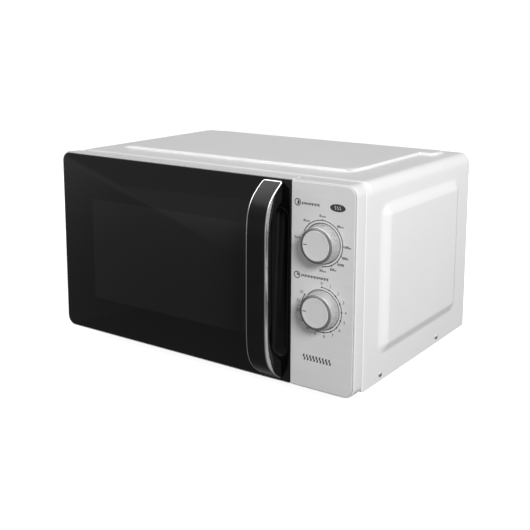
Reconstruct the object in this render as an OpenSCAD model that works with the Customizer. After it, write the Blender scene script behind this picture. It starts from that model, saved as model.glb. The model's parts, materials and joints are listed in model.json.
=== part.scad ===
// Countertop microwave oven with a side-hinged door, two dials and a grill.
// Every sub-part is drawn in body axes: x from the left side, y back from the
// door glass, z up from the underside of the front housing. in_place() then
// puts it in the frame of the whole part: centred, and standing on its feet.

/* [Body] */
// Width of the front and of the cover
body_w = 451.5; // [446:0.5:470]
// Height of the door and of the panel housing
front_h = 241; // [236:1:252]
// Depth from the door glass to the cover's rear edge
body_d = 304; // [300:1:320]
// Height of the feet
foot_h = 15.5; // [10:0.5:22]
// Radius of the front's and the cover's corners
corner_r = 13; // [8:0.5:13]

/* [Door] */
// Width of the door
door_w = 366.9; // [362:0.1:366.9]
// Thickness of the door
door_t = 18.9; // [18:0.1:19]
// Height of the bow handle
handle_h = 234; // [200:1:236]
// Width of the bow handle
handle_w = 26.9; // [20:0.1:30]
// How far the handle stands in front of the glass
handle_out = 35; // [28:1:45]

/* [Dials] */
// Radius of a knob at its foot
knob_r = 22.4; // [18:0.1:22.6]
// How far a knob stands in front of the panel
knob_out = 14.2; // [12:0.1:20]
// Height of the power dial's centre
power_z = 173; // [168:1:178]
// Height of the timer dial's centre
timer_z = 97; // [90:1:100]

/* [Cavity] */
// Inner width of the cooking cavity
cavity_w = 308; // [300:1:308]
// Inner depth of the cooking cavity
cavity_d = 276; // [268:1:278]
// Inner height of the cooking cavity
cavity_h = 202; // [196:1:202]
// Radius of the glass tray
tray_r = 122.5; // [115:0.5:127]

/* [Hidden] */
$fn = 64;

// Depth of the door and housing band, where the metal body starts
front_y = 20;
// Middle of the whole part between the handle and the rear spacers
spacer_out = 3.5;
mid_y = (body_d + spacer_out - handle_out) / 2;

// Outer cover
sheet_t = 1;
cover_z = 2.7;
cover_top = front_h - 0.2;
cover_r = corner_r + 1;
strip_drop = 1.5;
strip_y = 33;
top_raise = 3;
boss_out = 5.5;
// Places of the cover's side screws, in (y, z)
cover_screw_at = [[62, 10.6], [216, 10.6]];
// Places of the rear panel's screws, in (x, z)
rear_screw_at = [[18, 215], [body_w - 18, 215], [18, 20], [body_w - 18, 20], [body_w / 2, 228]];
// Middle of the cord gland
gland_x = 425;
gland_z = 44;

// Front plate and cavity
plate_t = 1;
plate_y = front_y + plate_t;
wall_t = 1;
cavity_x = 22;
cavity_z = 20;
cavity_x1 = cavity_x + cavity_w;
cavity_z1 = cavity_z + cavity_h;
cavity_y1 = plate_y + cavity_d;
turn_x = cavity_x + cavity_w / 2;
turn_y = plate_y + cavity_d / 2;

// Grill heater: the places along y of its four straight runs
heater_runs = [90, 130, 170, 210];
heater_z = 213;
heater_r = 3.2;
heater_x = [90, 275];

// Control panel
panel_x = door_w + 1;
panel_t = 2.2;
fascia_x1 = body_w - 2.4;
fascia_t = 1.1;
knob_x = (panel_x + fascia_x1) / 2;
knob_gap = 0.8;
spindle_r = 3;
run_gap = 0.05;

// Base
base_z = 2.8;
base_t = 1.2;
base_top = base_z + base_t;
// Places of the four feet, in (x, y)
foot_at = [[48, 62], [body_w - 48, 62], [48, 262], [body_w - 48, 262]];

// Door
glass_t = 3.2;
door_wall = 2.2;
hinge_x = 7;
hinge_y = 10;
hinge_pin_r = 2.5;
hinge_arm_t = 2;
hinge_top_z = front_h - 15;
hinge_low_z = 13;
pocket_x = [342, 363.8];
pocket_z = [32, 207];
pocket_d = 10;
window = [50, 43, 317, 187];
choke = [13.2, 12, 339.2, 229];
plateau = [30, 30, 322, 212];
strip_x = 341;

// Handle
handle_x = 356.5 - handle_w;
handle_z = (front_h - handle_h) / 2;
handle_t = 9;
grip_inset = 22;
bow_rise = 0.096;
bow_steps = [for (i = [0 : 12]) 0.36 * pow(i / 12, 1.7)];
bow_ts = concat(bow_steps, [for (i = [12 : -1 : 0]) 1 - bow_steps[i]]);
screw_x = 346;
screw_z = [14, 227];

// Latch
latch_travel = 4;
hook_x = [350, 354];
hook_z = [58, 180];
hook_h = 8;
slider_y = [12.6, 15];
slider_z = [48, 208];
spring_top = 220;

// Turntable
spin_gap = 0.3;
roller_r = 8;
roller_orbit = 91.5;
roller_w = 7;
axle_z = cavity_z + spin_gap + roller_r;
tray_z = axle_z + roller_r + spin_gap;

// Magnetron, fan
magnetron_y = 170;
magnetron_z = 170;
fan_x = 395;
fan_z = 170;
fan_y = 262;
fan_r = 46;

module in_place() translate([-body_w / 2, -mid_y, foot_h]) children();

// An outline in (x, z) carried from y0 to y1
module slab_y(y0, y1) translate([0, y1, 0]) rotate([90, 0, 0]) linear_extrude(y1 - y0) children();

// An outline in (y, z) carried from x0 to x1
module slab_x(x0, x1) translate([x0, 0, 0]) rotate([90, 0, 90]) linear_extrude(x1 - x0) children();

// A box between two corners
module box(low, high) translate(low) cube(high - low);

// A round bar along y, from y0 to y1
module bar_y(x, z, r, y0, y1) translate([x, y1, z]) rotate([90, 0, 0]) cylinder(r = r, h = y1 - y0);

// A round bar along x, from x0 to x1
module bar_x(y, z, r, x0, x1) translate([x0, y, z]) rotate([0, 90, 0]) cylinder(r = r, h = x1 - x0);

// What a corner of radius r takes off: sx and sy point out of the outline
module corner_off(x, y, r, sx, sy) {
    if (r > 0) {
        difference() {
            translate([x - (sx > 0 ? r : 1), y - (sy > 0 ? r : 1)]) square(r + 1);
            translate([x - sx * r, y - sy * r]) circle(r);
        }
    }
}

// A rectangle with corner radii in the order low left, low right, top right, top left
module outline(x0, z0, x1, z1, r = [0, 0, 0, 0]) {
    difference() {
        translate([x0, z0]) square([x1 - x0, z1 - z0]);
        corner_off(x0, z0, r[0], -1, -1);
        corner_off(x1, z0, r[1], 1, -1);
        corner_off(x1, z1, r[2], 1, 1);
        corner_off(x0, z1, r[3], -1, 1);
    }
}

// The cover's arch, inset by t and with its top lowered by drop
module arch(t, drop) {
    r = cover_r - t;
    outline(t, cover_z - (t > 0 ? 1 : 0), body_w - t, cover_top - t - drop, [0, 0, r, r]);
}

// A pressed field that stands out by h: outline a at the foot, outline b at the top
module pressing(a, b, h, r) {
    hull() {
        translate([0, 0, -0.6]) linear_extrude(0.6) outline(a[0], a[1], a[2], a[3], [r, r, r, r], $fn = 32);
        translate([0, 0, h - 0.2]) linear_extrude(0.2)
            outline(b[0], b[1], b[2], b[3], [r - 6, r - 6, r - 6, r - 6], $fn = 32);
    }
}

// A stadium in (x, z), grown by g all round
module stadium(g) {
    r = (pocket_x[1] - pocket_x[0]) / 2;
    x = (pocket_x[0] + pocket_x[1]) / 2;
    translate([x - r - g, pocket_z[0] + r]) square([2 * (r + g), pocket_z[1] - pocket_z[0] - 2 * r]);
    for (z = [pocket_z[0] + r, pocket_z[1] - r]) translate([x, z]) circle(r + g);
}

/* Body shell */

module outer_cover() color("white") in_place() {
    top_foot = [33, 75, 403, 290];
    top_face = [37.5, 79.5, 398.5, 285.5];
    side_foot = [54.7, 38, 271, 213];
    side_face = [71, 48, 254.5, 203];
    difference() {
        union() {
            slab_y(front_y, strip_y) arch(0, strip_drop);
            slab_y(strip_y, body_d) arch(0, 0);
            translate([0, 0, cover_top]) pressing(top_foot, top_face, top_raise, 20);
            translate([body_w, 0, 0]) rotate([90, 0, 90]) pressing(side_foot, side_face, boss_out, 18);
            mirror([1, 0, 0]) rotate([90, 0, 90]) pressing(side_foot, side_face, boss_out, 18);
        }
        slab_y(front_y - 1, strip_y + sheet_t) arch(sheet_t, strip_drop);
        slab_y(strip_y + sheet_t, body_d + 1) arch(sheet_t, 0);
        translate([0, 0, cover_top - sheet_t]) pressing(top_foot, top_face, top_raise, 20);
        translate([body_w - sheet_t, 0, 0]) rotate([90, 0, 90]) pressing(side_foot, side_face, boss_out, 18);
        translate([sheet_t, 0, 0]) mirror([1, 0, 0]) rotate([90, 0, 90])
            pressing(side_foot, side_face, boss_out, 18);
        for (s = cover_screw_at) bar_x(s[0], s[1], 1.9, -1, body_w + 1);
    }
}

module cover_screws() color("dimgray") in_place() {
    for (s = cover_screw_at) {
        for (side = [0, 1]) {
            translate([side * body_w, s[0], s[1]]) mirror([1 - side, 0, 0]) rotate([0, 90, 0]) {
                cylinder(r = 3.2, h = 1.6);
                translate([0, 0, -6]) cylinder(r = 1.8, h = 6);
            }
        }
    }
    for (s = rear_screw_at) {
        bar_y(s[0], s[1], 3.2, body_d - 0.8, body_d + 0.8);
        bar_y(s[0], s[1], 1.8, body_d - 8, body_d - 0.8);
    }
}

module front_plate() color("gainsboro") in_place() {
    difference() {
        slab_y(front_y, plate_y) outline(1.4, 4.2, body_w - 1.4, cover_top - 2.8, [0, 0, 12, 12]);
        box([cavity_x, front_y - 1, cavity_z], [cavity_x1, plate_y + 1, cavity_z1]);
        box([panel_x + 6, front_y - 1, 62], [body_w - 8, plate_y + 1, 208]);
        for (z = [hinge_low_z, hinge_top_z]) {
            box([hinge_x - 4.4, front_y - 1, z - 0.4], [hinge_x + 4.4, plate_y + 1, z + hinge_arm_t + 0.4]);
        }
        for (z = hook_z) {
            box([hook_x[0] - 1.2, front_y - 1, z - 8], [hook_x[1] + 3.2, plate_y + 1, z + hook_h + 8]);
        }
    }
}

module base_plate() color("silver") in_place() {
    difference() {
        union() {
            box([1.3, plate_y + 0.3, base_z], [body_w - 1.3, body_d - 3, base_top]);
            box([1.3, plate_y + 0.3, base_z], [2.5, body_d - 3, 18]);
            box([body_w - 2.5, plate_y + 0.3, base_z], [body_w - 1.3, body_d - 3, 18]);
            for (y = [70, 240]) box([60, y, base_z - 1.5], [310, y + 10, base_z]);
        }
        for (s = cover_screw_at) bar_x(s[0], s[1], 1.9, -1, body_w + 1);
        for (x = [345 : 9 : 435]) box([x, 60, base_z - 1], [x + 4, 95, base_top + 1]);
        for (f = foot_at) translate([f[0], f[1], base_z - 1]) cylinder(r = 4.1, h = base_t + 2);
    }
}

module feet() color("dimgray") in_place() {
    for (f = foot_at) {
        translate([f[0], f[1], 0]) rotate_extrude() polygon([
            [0, -foot_h], [10, -foot_h], [11.5, -foot_h + 1.5], [14, base_z], [4, base_z], [4, base_top],
            [5.5, base_top], [4, base_top + 2.5], [0, base_top + 2.5]
        ]);
    }
}

module rear_panel() color("gainsboro") in_place() {
    back = body_d - 0.8;
    difference() {
        union() {
            slab_y(back - 1, back) outline(1.4, base_top + 0.2, body_w - 1.4, cover_top - 1.4, [0, 0, 12, 12]);
            for (x = [60, body_w - 60]) {
                for (z = [60, 190]) bar_y(x, z, 8, back, body_d + spacer_out);
            }
        }
        for (x = [350 : 8 : 438]) {
            for (z = [110, 150, 190]) box([x, back - 2, z], [x + 3.5, back + 1, z + 32]);
        }
        for (x = [90 : 8 : 250]) box([x, back - 2, 195], [x + 3.5, back + 1, 220]);
        for (s = rear_screw_at) bar_y(s[0], s[1], 1.9, back - 2, back + 1);
        bar_y(gland_x, gland_z, 6.6, back - 2, back + 1);
    }
}

module cord_gland() color("dimgray") in_place() {
    back = body_d - 0.8;
    difference() {
        union() {
            bar_y(gland_x, gland_z, 6.5, back - 1, back);
            bar_y(gland_x, gland_z, 9, back - 6, back - 1);
            bar_y(gland_x, gland_z, 9, back, back + 2);
            bar_y(gland_x, gland_z, 6, back + 2, body_d + spacer_out - 0.1);
        }
        bar_y(gland_x, gland_z, 3.7, back - 8, body_d + spacer_out + 1);
    }
}

/* Control panel */

module panel_housing() color("white") in_place() {
    difference() {
        slab_y(0.6, front_y - 0.2) outline(panel_x, 0, body_w, front_h, [0, corner_r, corner_r, 0]);
        slab_y(3, front_y) outline(panel_x + panel_t, panel_t, body_w - panel_t, front_h - panel_t,
            [0, corner_r - panel_t, corner_r - panel_t, 0]);
        slab_y(-1, fascia_t + 0.1) outline(panel_x - 1, 1.5, fascia_x1 + 0.1, front_h - 1.5,
            [0, corner_r - 1.7, corner_r - 1.7, 0]);
        for (z = [power_z, timer_z]) bar_y(knob_x, z, 5.3, 0, 4);
    }
}

module panel_fascia() color("silver") in_place() {
    difference() {
        slab_y(0, fascia_t) outline(panel_x, 1.6, fascia_x1, front_h - 1.6,
            [0, corner_r - 1.8, corner_r - 1.8, 0]);
        for (z = [power_z, timer_z]) bar_y(knob_x, z, 5.3, -1, 3);
    }
}

// A box behind the panel with a bush that guides a spindle
module dial_unit(z, half, back) {
    difference() {
        union() {
            box([knob_x - half, 5.2, z - half], [knob_x + half, back, z + half]);
            bar_y(knob_x, z, 5.1, 1.6, 5.2);
        }
        bar_y(knob_x, z, spindle_r + run_gap, 0, back - 4);
    }
}

module timer_unit() color("whitesmoke") in_place() {
    dial_unit(timer_z, 25, 36);
    for (x = [-20, 20]) box([knob_x + x - 3, 20, timer_z - 33], [knob_x + x + 3, 22.5, timer_z - 25]);
}

module timer_bell() color("silver") in_place() {
    translate([knob_x, 36, timer_z]) rotate([-90, 0, 0]) rotate_extrude() polygon([
        [0, 0], [3, 0], [3, 6], [14, 6], [17, 4], [18, 0.6], [19, 0.6], [18, 5], [14, 7.4], [3, 7.4], [3, 9], [0, 9]
    ]);
}

module power_selector_unit() color("whitesmoke") in_place() {
    dial_unit(power_z, 21, 28);
    for (x = [-12, 0, 12]) box([knob_x + x - 3, 28, power_z - 2], [knob_x + x + 3, 34, power_z - 1]);
}

// A tapered knob with a bevelled face and a pointer groove at nine o'clock
module knob(z) {
    difference() {
        translate([knob_x, 0, z]) rotate([90, 0, 0]) rotate_extrude() polygon([
            [0, 2.6], [5.5, 2.6], [5.5, knob_out - 4], [knob_r - 5.5, knob_out - 4], [knob_r - 3, knob_gap],
            [knob_r, knob_gap], [knob_r - 2, knob_out - 1.4], [knob_r - 5.2, knob_out], [0, knob_out]
        ]);
        bar_y(knob_x, z, spindle_r + 0.02, -knob_out + 3, 0);
        box([knob_x - 16, -knob_out - 1, z - 0.6], [knob_x - 11, -knob_out + 0.4, z + 0.6]);
    }
}

module spindle(z, back) bar_y(knob_x, z, spindle_r, -knob_out + 3, back - 5);

module timer_knob() color("silver") in_place() knob(timer_z);
module timer_spindle() color("gray") in_place() spindle(timer_z, 36);
module power_knob() color("silver") in_place() knob(power_z);
module power_spindle() color("gray") in_place() spindle(power_z, 28);

/* Cavity */

module cavity_shell() color("lightgray") in_place() {
    difference() {
        box([cavity_x - wall_t, plate_y, cavity_z - wall_t],
            [cavity_x1 + wall_t, cavity_y1 + wall_t, cavity_z1 + wall_t]);
        box([cavity_x, plate_y - 1, cavity_z], [cavity_x1, cavity_y1, cavity_z1]);
        translate([turn_x, turn_y, cavity_z - 2]) cylinder(r = 8, h = 4);
        box([cavity_x1 - 1, 140, 150], [cavity_x1 + 2, 200, 190]);
        for (y = [heater_runs[0], heater_runs[3]]) bar_x(y, heater_z, 3.4, cavity_x1 - 1, cavity_x1 + 2);
        for (y = [60 : 6 : 84]) {
            for (z = [184 : 6 : 202]) bar_x(y, z, 1.5, cavity_x1 - 1, cavity_x1 + 2);
            for (z = [60 : 6 : 96]) bar_x(y + 172, z, 1.5, cavity_x - 2, cavity_x + 1);
        }
    }
}

module waveguide_cover() color("tan") in_place() {
    slab_x(cavity_x1 - 0.8, cavity_x1) outline(128, 138, 212, 202, [4, 4, 4, 4]);
}

module grill_heater() color("dimgray") in_place() {
    y = heater_runs;
    bend = (y[1] - y[0]) / 2;
    bar_x(y[0], heater_z, heater_r, heater_x[0], cavity_x1 + 12);
    bar_x(y[1], heater_z, heater_r, heater_x[0], heater_x[1]);
    bar_x(y[2], heater_z, heater_r, heater_x[0], heater_x[1]);
    bar_x(y[3], heater_z, heater_r, heater_x[0], cavity_x1 + 12);
    for (i = [0, 2]) translate([heater_x[0], (y[i] + y[i + 1]) / 2, heater_z]) rotate([0, 0, 90])
        rotate_extrude(angle = 180) translate([bend, 0]) circle(heater_r);
    translate([heater_x[1], (y[1] + y[2]) / 2, heater_z]) rotate([0, 0, -90])
        rotate_extrude(angle = 180) translate([bend, 0]) circle(heater_r);
}

module heater_brackets() color("silver") in_place() {
    for (x = [110, 250]) {
        difference() {
            box([x, 82, heater_z - 6], [x + 2, 218, cavity_z1]);
            for (y = heater_runs) bar_x(y, heater_z, heater_r + 0.05, x - 1, x + 3);
        }
    }
}

module lamp_holder() color("whitesmoke") in_place() {
    difference() {
        box([cavity_x1 + 1.2, 55, 178], [cavity_x1 + 22, 93, 208]);
        box([cavity_x1, 57, 180], [cavity_x1 + 20, 87, 206]);
    }
}

module lamp_bulb() color("lightyellow") in_place() {
    translate([cavity_x1 + 11, 72, 193]) sphere(r = 8);
    bar_y(cavity_x1 + 11, 193, 4, 78, 87);
}

/* Microwave source and power supply */

module waveguide() color("silver") in_place() {
    x = cavity_x1 + wall_t;
    difference() {
        box([x, 125, 135], [x + 18, 215, 205]);
        box([x - 1, 126.2, 136.2], [x + 16.8, 213.8, 203.8]);
        bar_x(magnetron_y, magnetron_z, 9, x + 10, x + 20);
    }
}

module magnetron_yoke() color("silver") in_place() {
    x = cavity_x1 + wall_t + 18;
    difference() {
        box([x, 130, 128], [x + 56, 210, 212]);
        box([x + 2, 129, 130], [x + 54, 211, 210]);
        bar_x(magnetron_y, magnetron_z, 10, x - 1, x + 57);
    }
    difference() {
        box([x + 56, 140, 140], [x + 82, 200, 200]);
        box([x + 55, 141.2, 141.2], [x + 80.8, 198.8, 198.8]);
    }
}

module magnetron_tube() color("lightsalmon") in_place() {
    x = cavity_x1 + wall_t + 18;
    bar_x(magnetron_y, magnetron_z, 18, x + 8, x + 48);
    bar_x(magnetron_y, magnetron_z, 9.5, x, x + 8);
    bar_x(magnetron_y, magnetron_z, 7.5, x - 14, x);
    bar_x(magnetron_y, magnetron_z, 9, x + 48, x + 66);
}

module magnetron_fins() color("gainsboro") in_place() {
    x = cavity_x1 + wall_t + 18;
    for (i = [0 : 5]) {
        difference() {
            box([x + 10 + 7 * i, 134, 134], [x + 11 + 7 * i, 206, 206]);
            bar_x(magnetron_y, magnetron_z, 18.1, x, x + 60);
        }
    }
}

module thermal_cutouts() color("black") in_place() {
    translate([cavity_x1 - 60, 240, cavity_z1 + wall_t]) cylinder(r = 8, h = 8);
    translate([cavity_x1 + 60, magnetron_y, 212]) cylinder(r = 8, h = 8);
}

module transformer_core() color("slategray") in_place() {
    difference() {
        union() {
            box([346, 112, base_top], [440, 162, 8]);
            box([350, 112, 8], [436, 162, 84]);
        }
        for (x = [360, 408]) box([x, 111, 18], [x + 18, 163, 74]);
    }
}

module transformer_windings() color("chocolate") in_place() {
    for (z = [[20, 44], [48, 72]]) {
        difference() {
            box([361, 102, z[0]], [425, 172, z[1]]);
            box([377.8, 111.8, z[0] - 1], [408.2, 162.2, z[1] + 1]);
        }
    }
}

// The capacitor's oval section in (y, z), grown by g
module can_section(g) {
    translate([230 - 16 - g, 26]) square([2 * (16 + g), 20]);
    for (z = [26, 46]) translate([230, z]) circle(16 + g);
}

module capacitor() color("lightgray") in_place() {
    slab_x(352, 432) can_section(0);
    for (z = [26, 46]) box([432, 227, z - 0.5], [440, 233, z + 0.5]);
}

module capacitor_clamp() color("silver") in_place() {
    difference() {
        union() {
            slab_x(386, 398) can_section(1.5);
            box([386, 216, base_top], [398, 262, base_top + 2]);
            box([386, 216, base_top], [398, 244, 26]);
        }
        slab_x(385, 399) can_section(0.05);
        translate([392, 255, 0]) cylinder(r = 2.2, h = 20);
    }
}

module hv_diode() color("black") in_place() {
    bar_x(266, base_top + 4, 4, 352, 376);
    box([376, 263, base_top], [388, 269, base_top + 1]);
    box([376, 265, base_top + 1], [377, 267, base_top + 4]);
}

/* Cooling fan */

module fan_shroud() color("whitesmoke") in_place() {
    difference() {
        box([fan_x - 52, fan_y, fan_z - 52], [fan_x + 52, fan_y + 24, fan_z + 52]);
        bar_y(fan_x, fan_z, fan_r + 2.5, fan_y - 1, fan_y + 22);
        for (a = [45 : 90 : 315]) {
            translate([fan_x, 0, fan_z]) rotate([0, a, 0]) box([16, fan_y - 1, -12], [44, fan_y + 25, 12]);
        }
        bar_y(fan_x, fan_z, 6, fan_y, fan_y + 25);
    }
}

module fan_motor() color("slategray") in_place() {
    y0 = fan_y + 24.2;
    difference() {
        union() {
            box([fan_x - 24, y0, fan_z - 18], [fan_x + 24, y0 + 12, fan_z + 18]);
            bar_y(fan_x, fan_z, 5, y0 - 5, y0);
        }
        bar_y(fan_x, fan_z, 2.05, y0 - 6, y0 + 9);
        box([fan_x - 19, y0 - 1, fan_z - 13], [fan_x - 11, y0 + 13, fan_z + 13]);
        box([fan_x + 11, y0 - 1, fan_z - 13], [fan_x + 19, y0 + 13, fan_z + 13]);
    }
}

module fan_spindle() color("gray") in_place() bar_y(fan_x, fan_z, 2, fan_y + 4, fan_y + 32);

module fan_blade() color("gray") in_place() {
    difference() {
        union() {
            bar_y(fan_x, fan_z, 12, fan_y + 3, fan_y + 17);
            intersection() {
                bar_y(fan_x, fan_z, fan_r, fan_y, fan_y + 20);
                for (i = [0 : 4]) translate([fan_x, fan_y + 10, fan_z]) rotate([0, i * 72, 0])
                    rotate([35, 0, 0]) translate([10, -0.8, -12]) cube([fan_r, 1.6, 24]);
            }
        }
        bar_y(fan_x, fan_z, 2, fan_y, fan_y + 20);
    }
}

module noise_filter_board() color("tan") in_place() {
    box([352, 232, 225], [440, 292, 226.6]);
    for (x = [358, 434]) box([x - 3, 266, 222], [x + 3, 280, 225]);
    translate([372, 262, 226.6]) cylinder(r = 10, h = 9);
    box([394, 246, 226.6], [420, 258, 236]);
    bar_x(276, 230.6, 4, 394, 424);
}

/* Turntable */

module turntable_motor() color("silver") in_place() {
    difference() {
        union() {
            translate([turn_x, turn_y, base_top]) cylinder(r = 24.5, h = 13.4);
            for (s = [-1, 1]) translate([turn_x + s * 28, turn_y, base_top + 11]) translate([-6, -5, 0])
                cube([12, 10, 1.2]);
        }
        translate([turn_x, turn_y, base_top + 5]) cylinder(r = 3.5 + run_gap, h = 20);
    }
}

module motor_spindle() color("gray") in_place()
    translate([turn_x, turn_y, base_top + 5.3]) cylinder(r = 3.5, h = 22);

module turntable_coupler() color("whitesmoke") in_place() {
    translate([turn_x, turn_y, 0]) {
        difference() {
            translate([0, 0, cavity_z + 0.6]) cylinder(r = 6.8, h = tray_z - cavity_z - 0.6);
            translate([0, 0, cavity_z - 1]) cylinder(r = 3.5, h = base_top + 5.3 + 22 - cavity_z + 1);
        }
        for (a = [0, 120, 240]) rotate([0, 0, a]) box([6, -2.5, tray_z - 7], [17, 2.5, tray_z]);
    }
}

module glass_tray() color("azure", 0.5) in_place() {
    z = tray_z;
    translate([turn_x, turn_y, 0]) {
        rotate_extrude($fn = 128) polygon([
            [0, z], [tray_r - 11, z], [tray_r, z + 9], [tray_r, z + 13], [tray_r - 2.5, z + 13],
            [tray_r - 13, z + 5], [0, z + 5]
        ]);
        for (a = [60, 180, 300]) rotate([0, 0, a]) translate([13, 0, z - 2]) cylinder(r = 2.5, h = 2.5);
    }
}

module roller_ring() color("whitesmoke") in_place() {
    hub = roller_orbit - roller_w / 2;
    translate([turn_x, turn_y, 0]) {
        rotate_extrude($fn = 128) translate([hub - 9, axle_z - 2.5]) square([6, 5]);
        for (a = [90, 210, 330]) rotate([0, 0, a]) {
            translate([0, 0, axle_z]) rotate([0, 90, 0]) translate([0, 0, hub - 4]) {
                cylinder(r = 2, h = roller_w + 7);
                translate([0, 0, roller_w + 4.3]) cylinder(r = 3.4, h = 1.7);
                cylinder(r = 3.4, h = 3.7);
            }
        }
    }
}

// A wheel of the roller ring, its axle pointing outwards at angle a
module roller(a) color("whitesmoke") in_place() {
    translate([turn_x, turn_y, axle_z]) rotate([0, 0, a]) rotate([0, 90, 0])
        translate([0, 0, roller_orbit - roller_w / 2]) difference() {
            cylinder(r = roller_r, h = roller_w);
            translate([0, 0, -1]) cylinder(r = 2 + run_gap, h = roller_w + 2);
        }
}
module roller_1() roller(90);
module roller_2() roller(210);
module roller_3() roller(330);

/* Hinges, latch board and switches */

// A hinge plate whose arm reaches into the door; the pin points up (1) or down (-1)
module hinge_plate(z, up) {
    box([hinge_x - 4, hinge_y, z], [hinge_x + 4, plate_y + 1.5, z + hinge_arm_t]);
    translate([hinge_x, hinge_y, z]) cylinder(r = 4, h = hinge_arm_t);
    translate([hinge_x, hinge_y, up > 0 ? z + hinge_arm_t : z - 6]) cylinder(r = hinge_pin_r, h = 6);
    box([4.6, plate_y, z - 6], [19, plate_y + 1.5, z + 7]);
}

module hinge_upper() color("silver") in_place() hinge_plate(hinge_top_z, 1);
module hinge_lower() color("silver") in_place() hinge_plate(hinge_low_z, -1);

module latch_board() color("whitesmoke") in_place() {
    difference() {
        union() {
            box([341, plate_y, 32], [364, plate_y + 2.5, 216]);
            box([361, plate_y, 32], [364, 58, 216]);
        }
        for (z = hook_z) box([hook_x[0] - 2, plate_y - 1, z - 9], [hook_x[1] + 4, plate_y + 3, z + hook_h + 9]);
        box([360, 40, 90], [365, 60, 150]);
    }
}

module interlock_switches() color("firebrick") in_place() {
    for (z = [34, 156, 200]) {
        box([348, 25, z], [360.8, 53, z + 13]);
        for (y = [32, 46]) box([345, y, z + 4], [348, y + 1, z + 9]);
    }
}

/* Door */

module door_frame() color("white") in_place() {
    inner = [door_wall, door_wall, door_w - 1.9, front_h - door_wall];
    difference() {
        union() {
            difference() {
                slab_y(0.8, door_t) outline(0, 0, door_w, front_h, [corner_r, 0, 0, corner_r]);
                slab_y(glass_t + 2, door_t + 1) outline(inner[0], inner[1], inner[2], inner[3],
                    [corner_r - 2, 0, 0, corner_r - 2]);
            }
            // Rear strip beside the choke, with the latch guides and the spring's seat
            box([strip_x, 16.8, 1], [door_w - 1, door_t, front_h - 1]);
            box([343.6, 12, 45], [344.7, 17, 212]);
            box([361.3, 12, 45], [362.4, 17, 212]);
            box([348, 11.4, spring_top], [358, 17, spring_top + 3]);
            // Hinge lugs
            translate([hinge_x, hinge_y, 1]) cylinder(r = 5.2, h = hinge_low_z - 1 - 0.3);
            translate([hinge_x, hinge_y, hinge_top_z + hinge_arm_t + 0.3])
                cylinder(r = 5.2, h = front_h - 1 - hinge_top_z - hinge_arm_t - 0.3);
        }
        // Seat of the glass
        slab_y(-1, glass_t) outline(1, 1, door_w + 1, front_h - 1, [corner_r - 1, 0, 0, corner_r - 1]);
        slab_y(0, glass_t + 3) outline(window[0], window[1], window[2], window[3], [4, 4, 4, 4]);
        slab_y(0, glass_t + 3) stadium(1.2);
        // Rear edge on the hinge side, rounded about the pin
        difference() {
            box([-1, hinge_y, -1], [hinge_x, door_t + 2, front_h + 1]);
            translate([hinge_x, hinge_y, -2]) cylinder(r = 9.6, h = front_h + 4);
        }
        // Room for the hinge arms
        for (z = [hinge_low_z, hinge_top_z]) {
            box([-1, 3.4, z - 0.3], [hinge_x + 6, door_t + 1, z + hinge_arm_t + 0.3]);
        }
        translate([hinge_x, hinge_y, hinge_low_z - 6.4]) cylinder(r = hinge_pin_r + run_gap, h = 7);
        translate([hinge_x, hinge_y, hinge_top_z + hinge_arm_t - 0.6])
            cylinder(r = hinge_pin_r + run_gap, h = 7);
        for (z = hook_z) {
            box([hook_x[0] - 0.6, 16, z - 4.6], [hook_x[1] + 0.6, door_t + 1, z + hook_h + latch_travel + 1]);
        }
        for (z = screw_z) bar_y(screw_x, z, 2.1, 0, glass_t + 3);
    }
}

module door_glass() color("black") in_place() {
    difference() {
        slab_y(0, glass_t - 0.05) outline(1.1, 1.1, door_w, front_h - 1.1, [corner_r - 1.1, 0, 0, corner_r - 1.1]);
        slab_y(-1, glass_t + 1) stadium(0.05);
        for (z = screw_z) bar_y(screw_x, z, 2.1, -1, glass_t + 1);
    }
}

module handle_pocket() color("black") in_place() {
    difference() {
        union() {
            slab_y(0.2, pocket_d + 1) stadium(0);
            slab_y(glass_t, pocket_d + 1) stadium(1);
        }
        slab_y(-1, pocket_d) stadium(-1);
    }
}

module door_choke_panel() color("silver") in_place() {
    c = choke;
    p = plateau;
    difference() {
        union() {
            box([c[0], 6, c[1]], [c[2], 14, c[3]]);
            box([p[0], 6, p[1]], [p[2], 18.2, p[3]]);
        }
        difference() {
            box([c[0] + 0.8, 6.8, c[1] + 0.8], [c[2] - 0.8, 15, c[3] - 0.8]);
            box([p[0], 5, p[1]], [p[2], 19, p[3]]);
        }
        box([p[0] + 0.8, 5, p[1] + 0.8], [p[2] - 0.8, 17.4, p[3] - 0.8]);
    }
}

module door_choke_cover() color("gray") in_place() {
    c = choke;
    p = plateau;
    difference() {
        box([c[0] - 0.6, 14.6, c[1] - 1], [c[2] + 1, door_t, c[3] + 1]);
        box([p[0] - 0.4, 14, p[1] - 0.4], [p[2] + 0.4, door_t + 1, p[3] + 0.4]);
        box([c[0] + 1, 14, c[1] + 1], [c[2] - 1, 17.4, c[3] - 1]);
    }
}

module door_inner_film() color("white", 0.3) in_place() {
    p = plateau;
    slab_y(18.2, 18.7) outline(p[0] + 3, p[1] + 3, p[2] - 3, p[3] - 3, [6, 6, 6, 6]);
}

// The bow's depth at t, its way along the handle from 0 to 1: it rises from both ends as a hyperbolic tangent
function bow(t, out) = out * (1 - 2 / (exp(2 * min(t, 1 - t) / bow_rise) + 1));

// The bow in (y, z): its front stands out by out, its back by gap
module bow_outline(z0, h, out, gap, inset) {
    difference() {
        polygon([for (t = bow_ts) [-bow(t, out), z0 + t * h]]);
        polygon([for (t = bow_ts) [-bow(t, gap), z0 + inset + t * (h - 2 * inset)]]);
        translate([0, z0 - 1]) square([1, h + 2]);
    }
}

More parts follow.
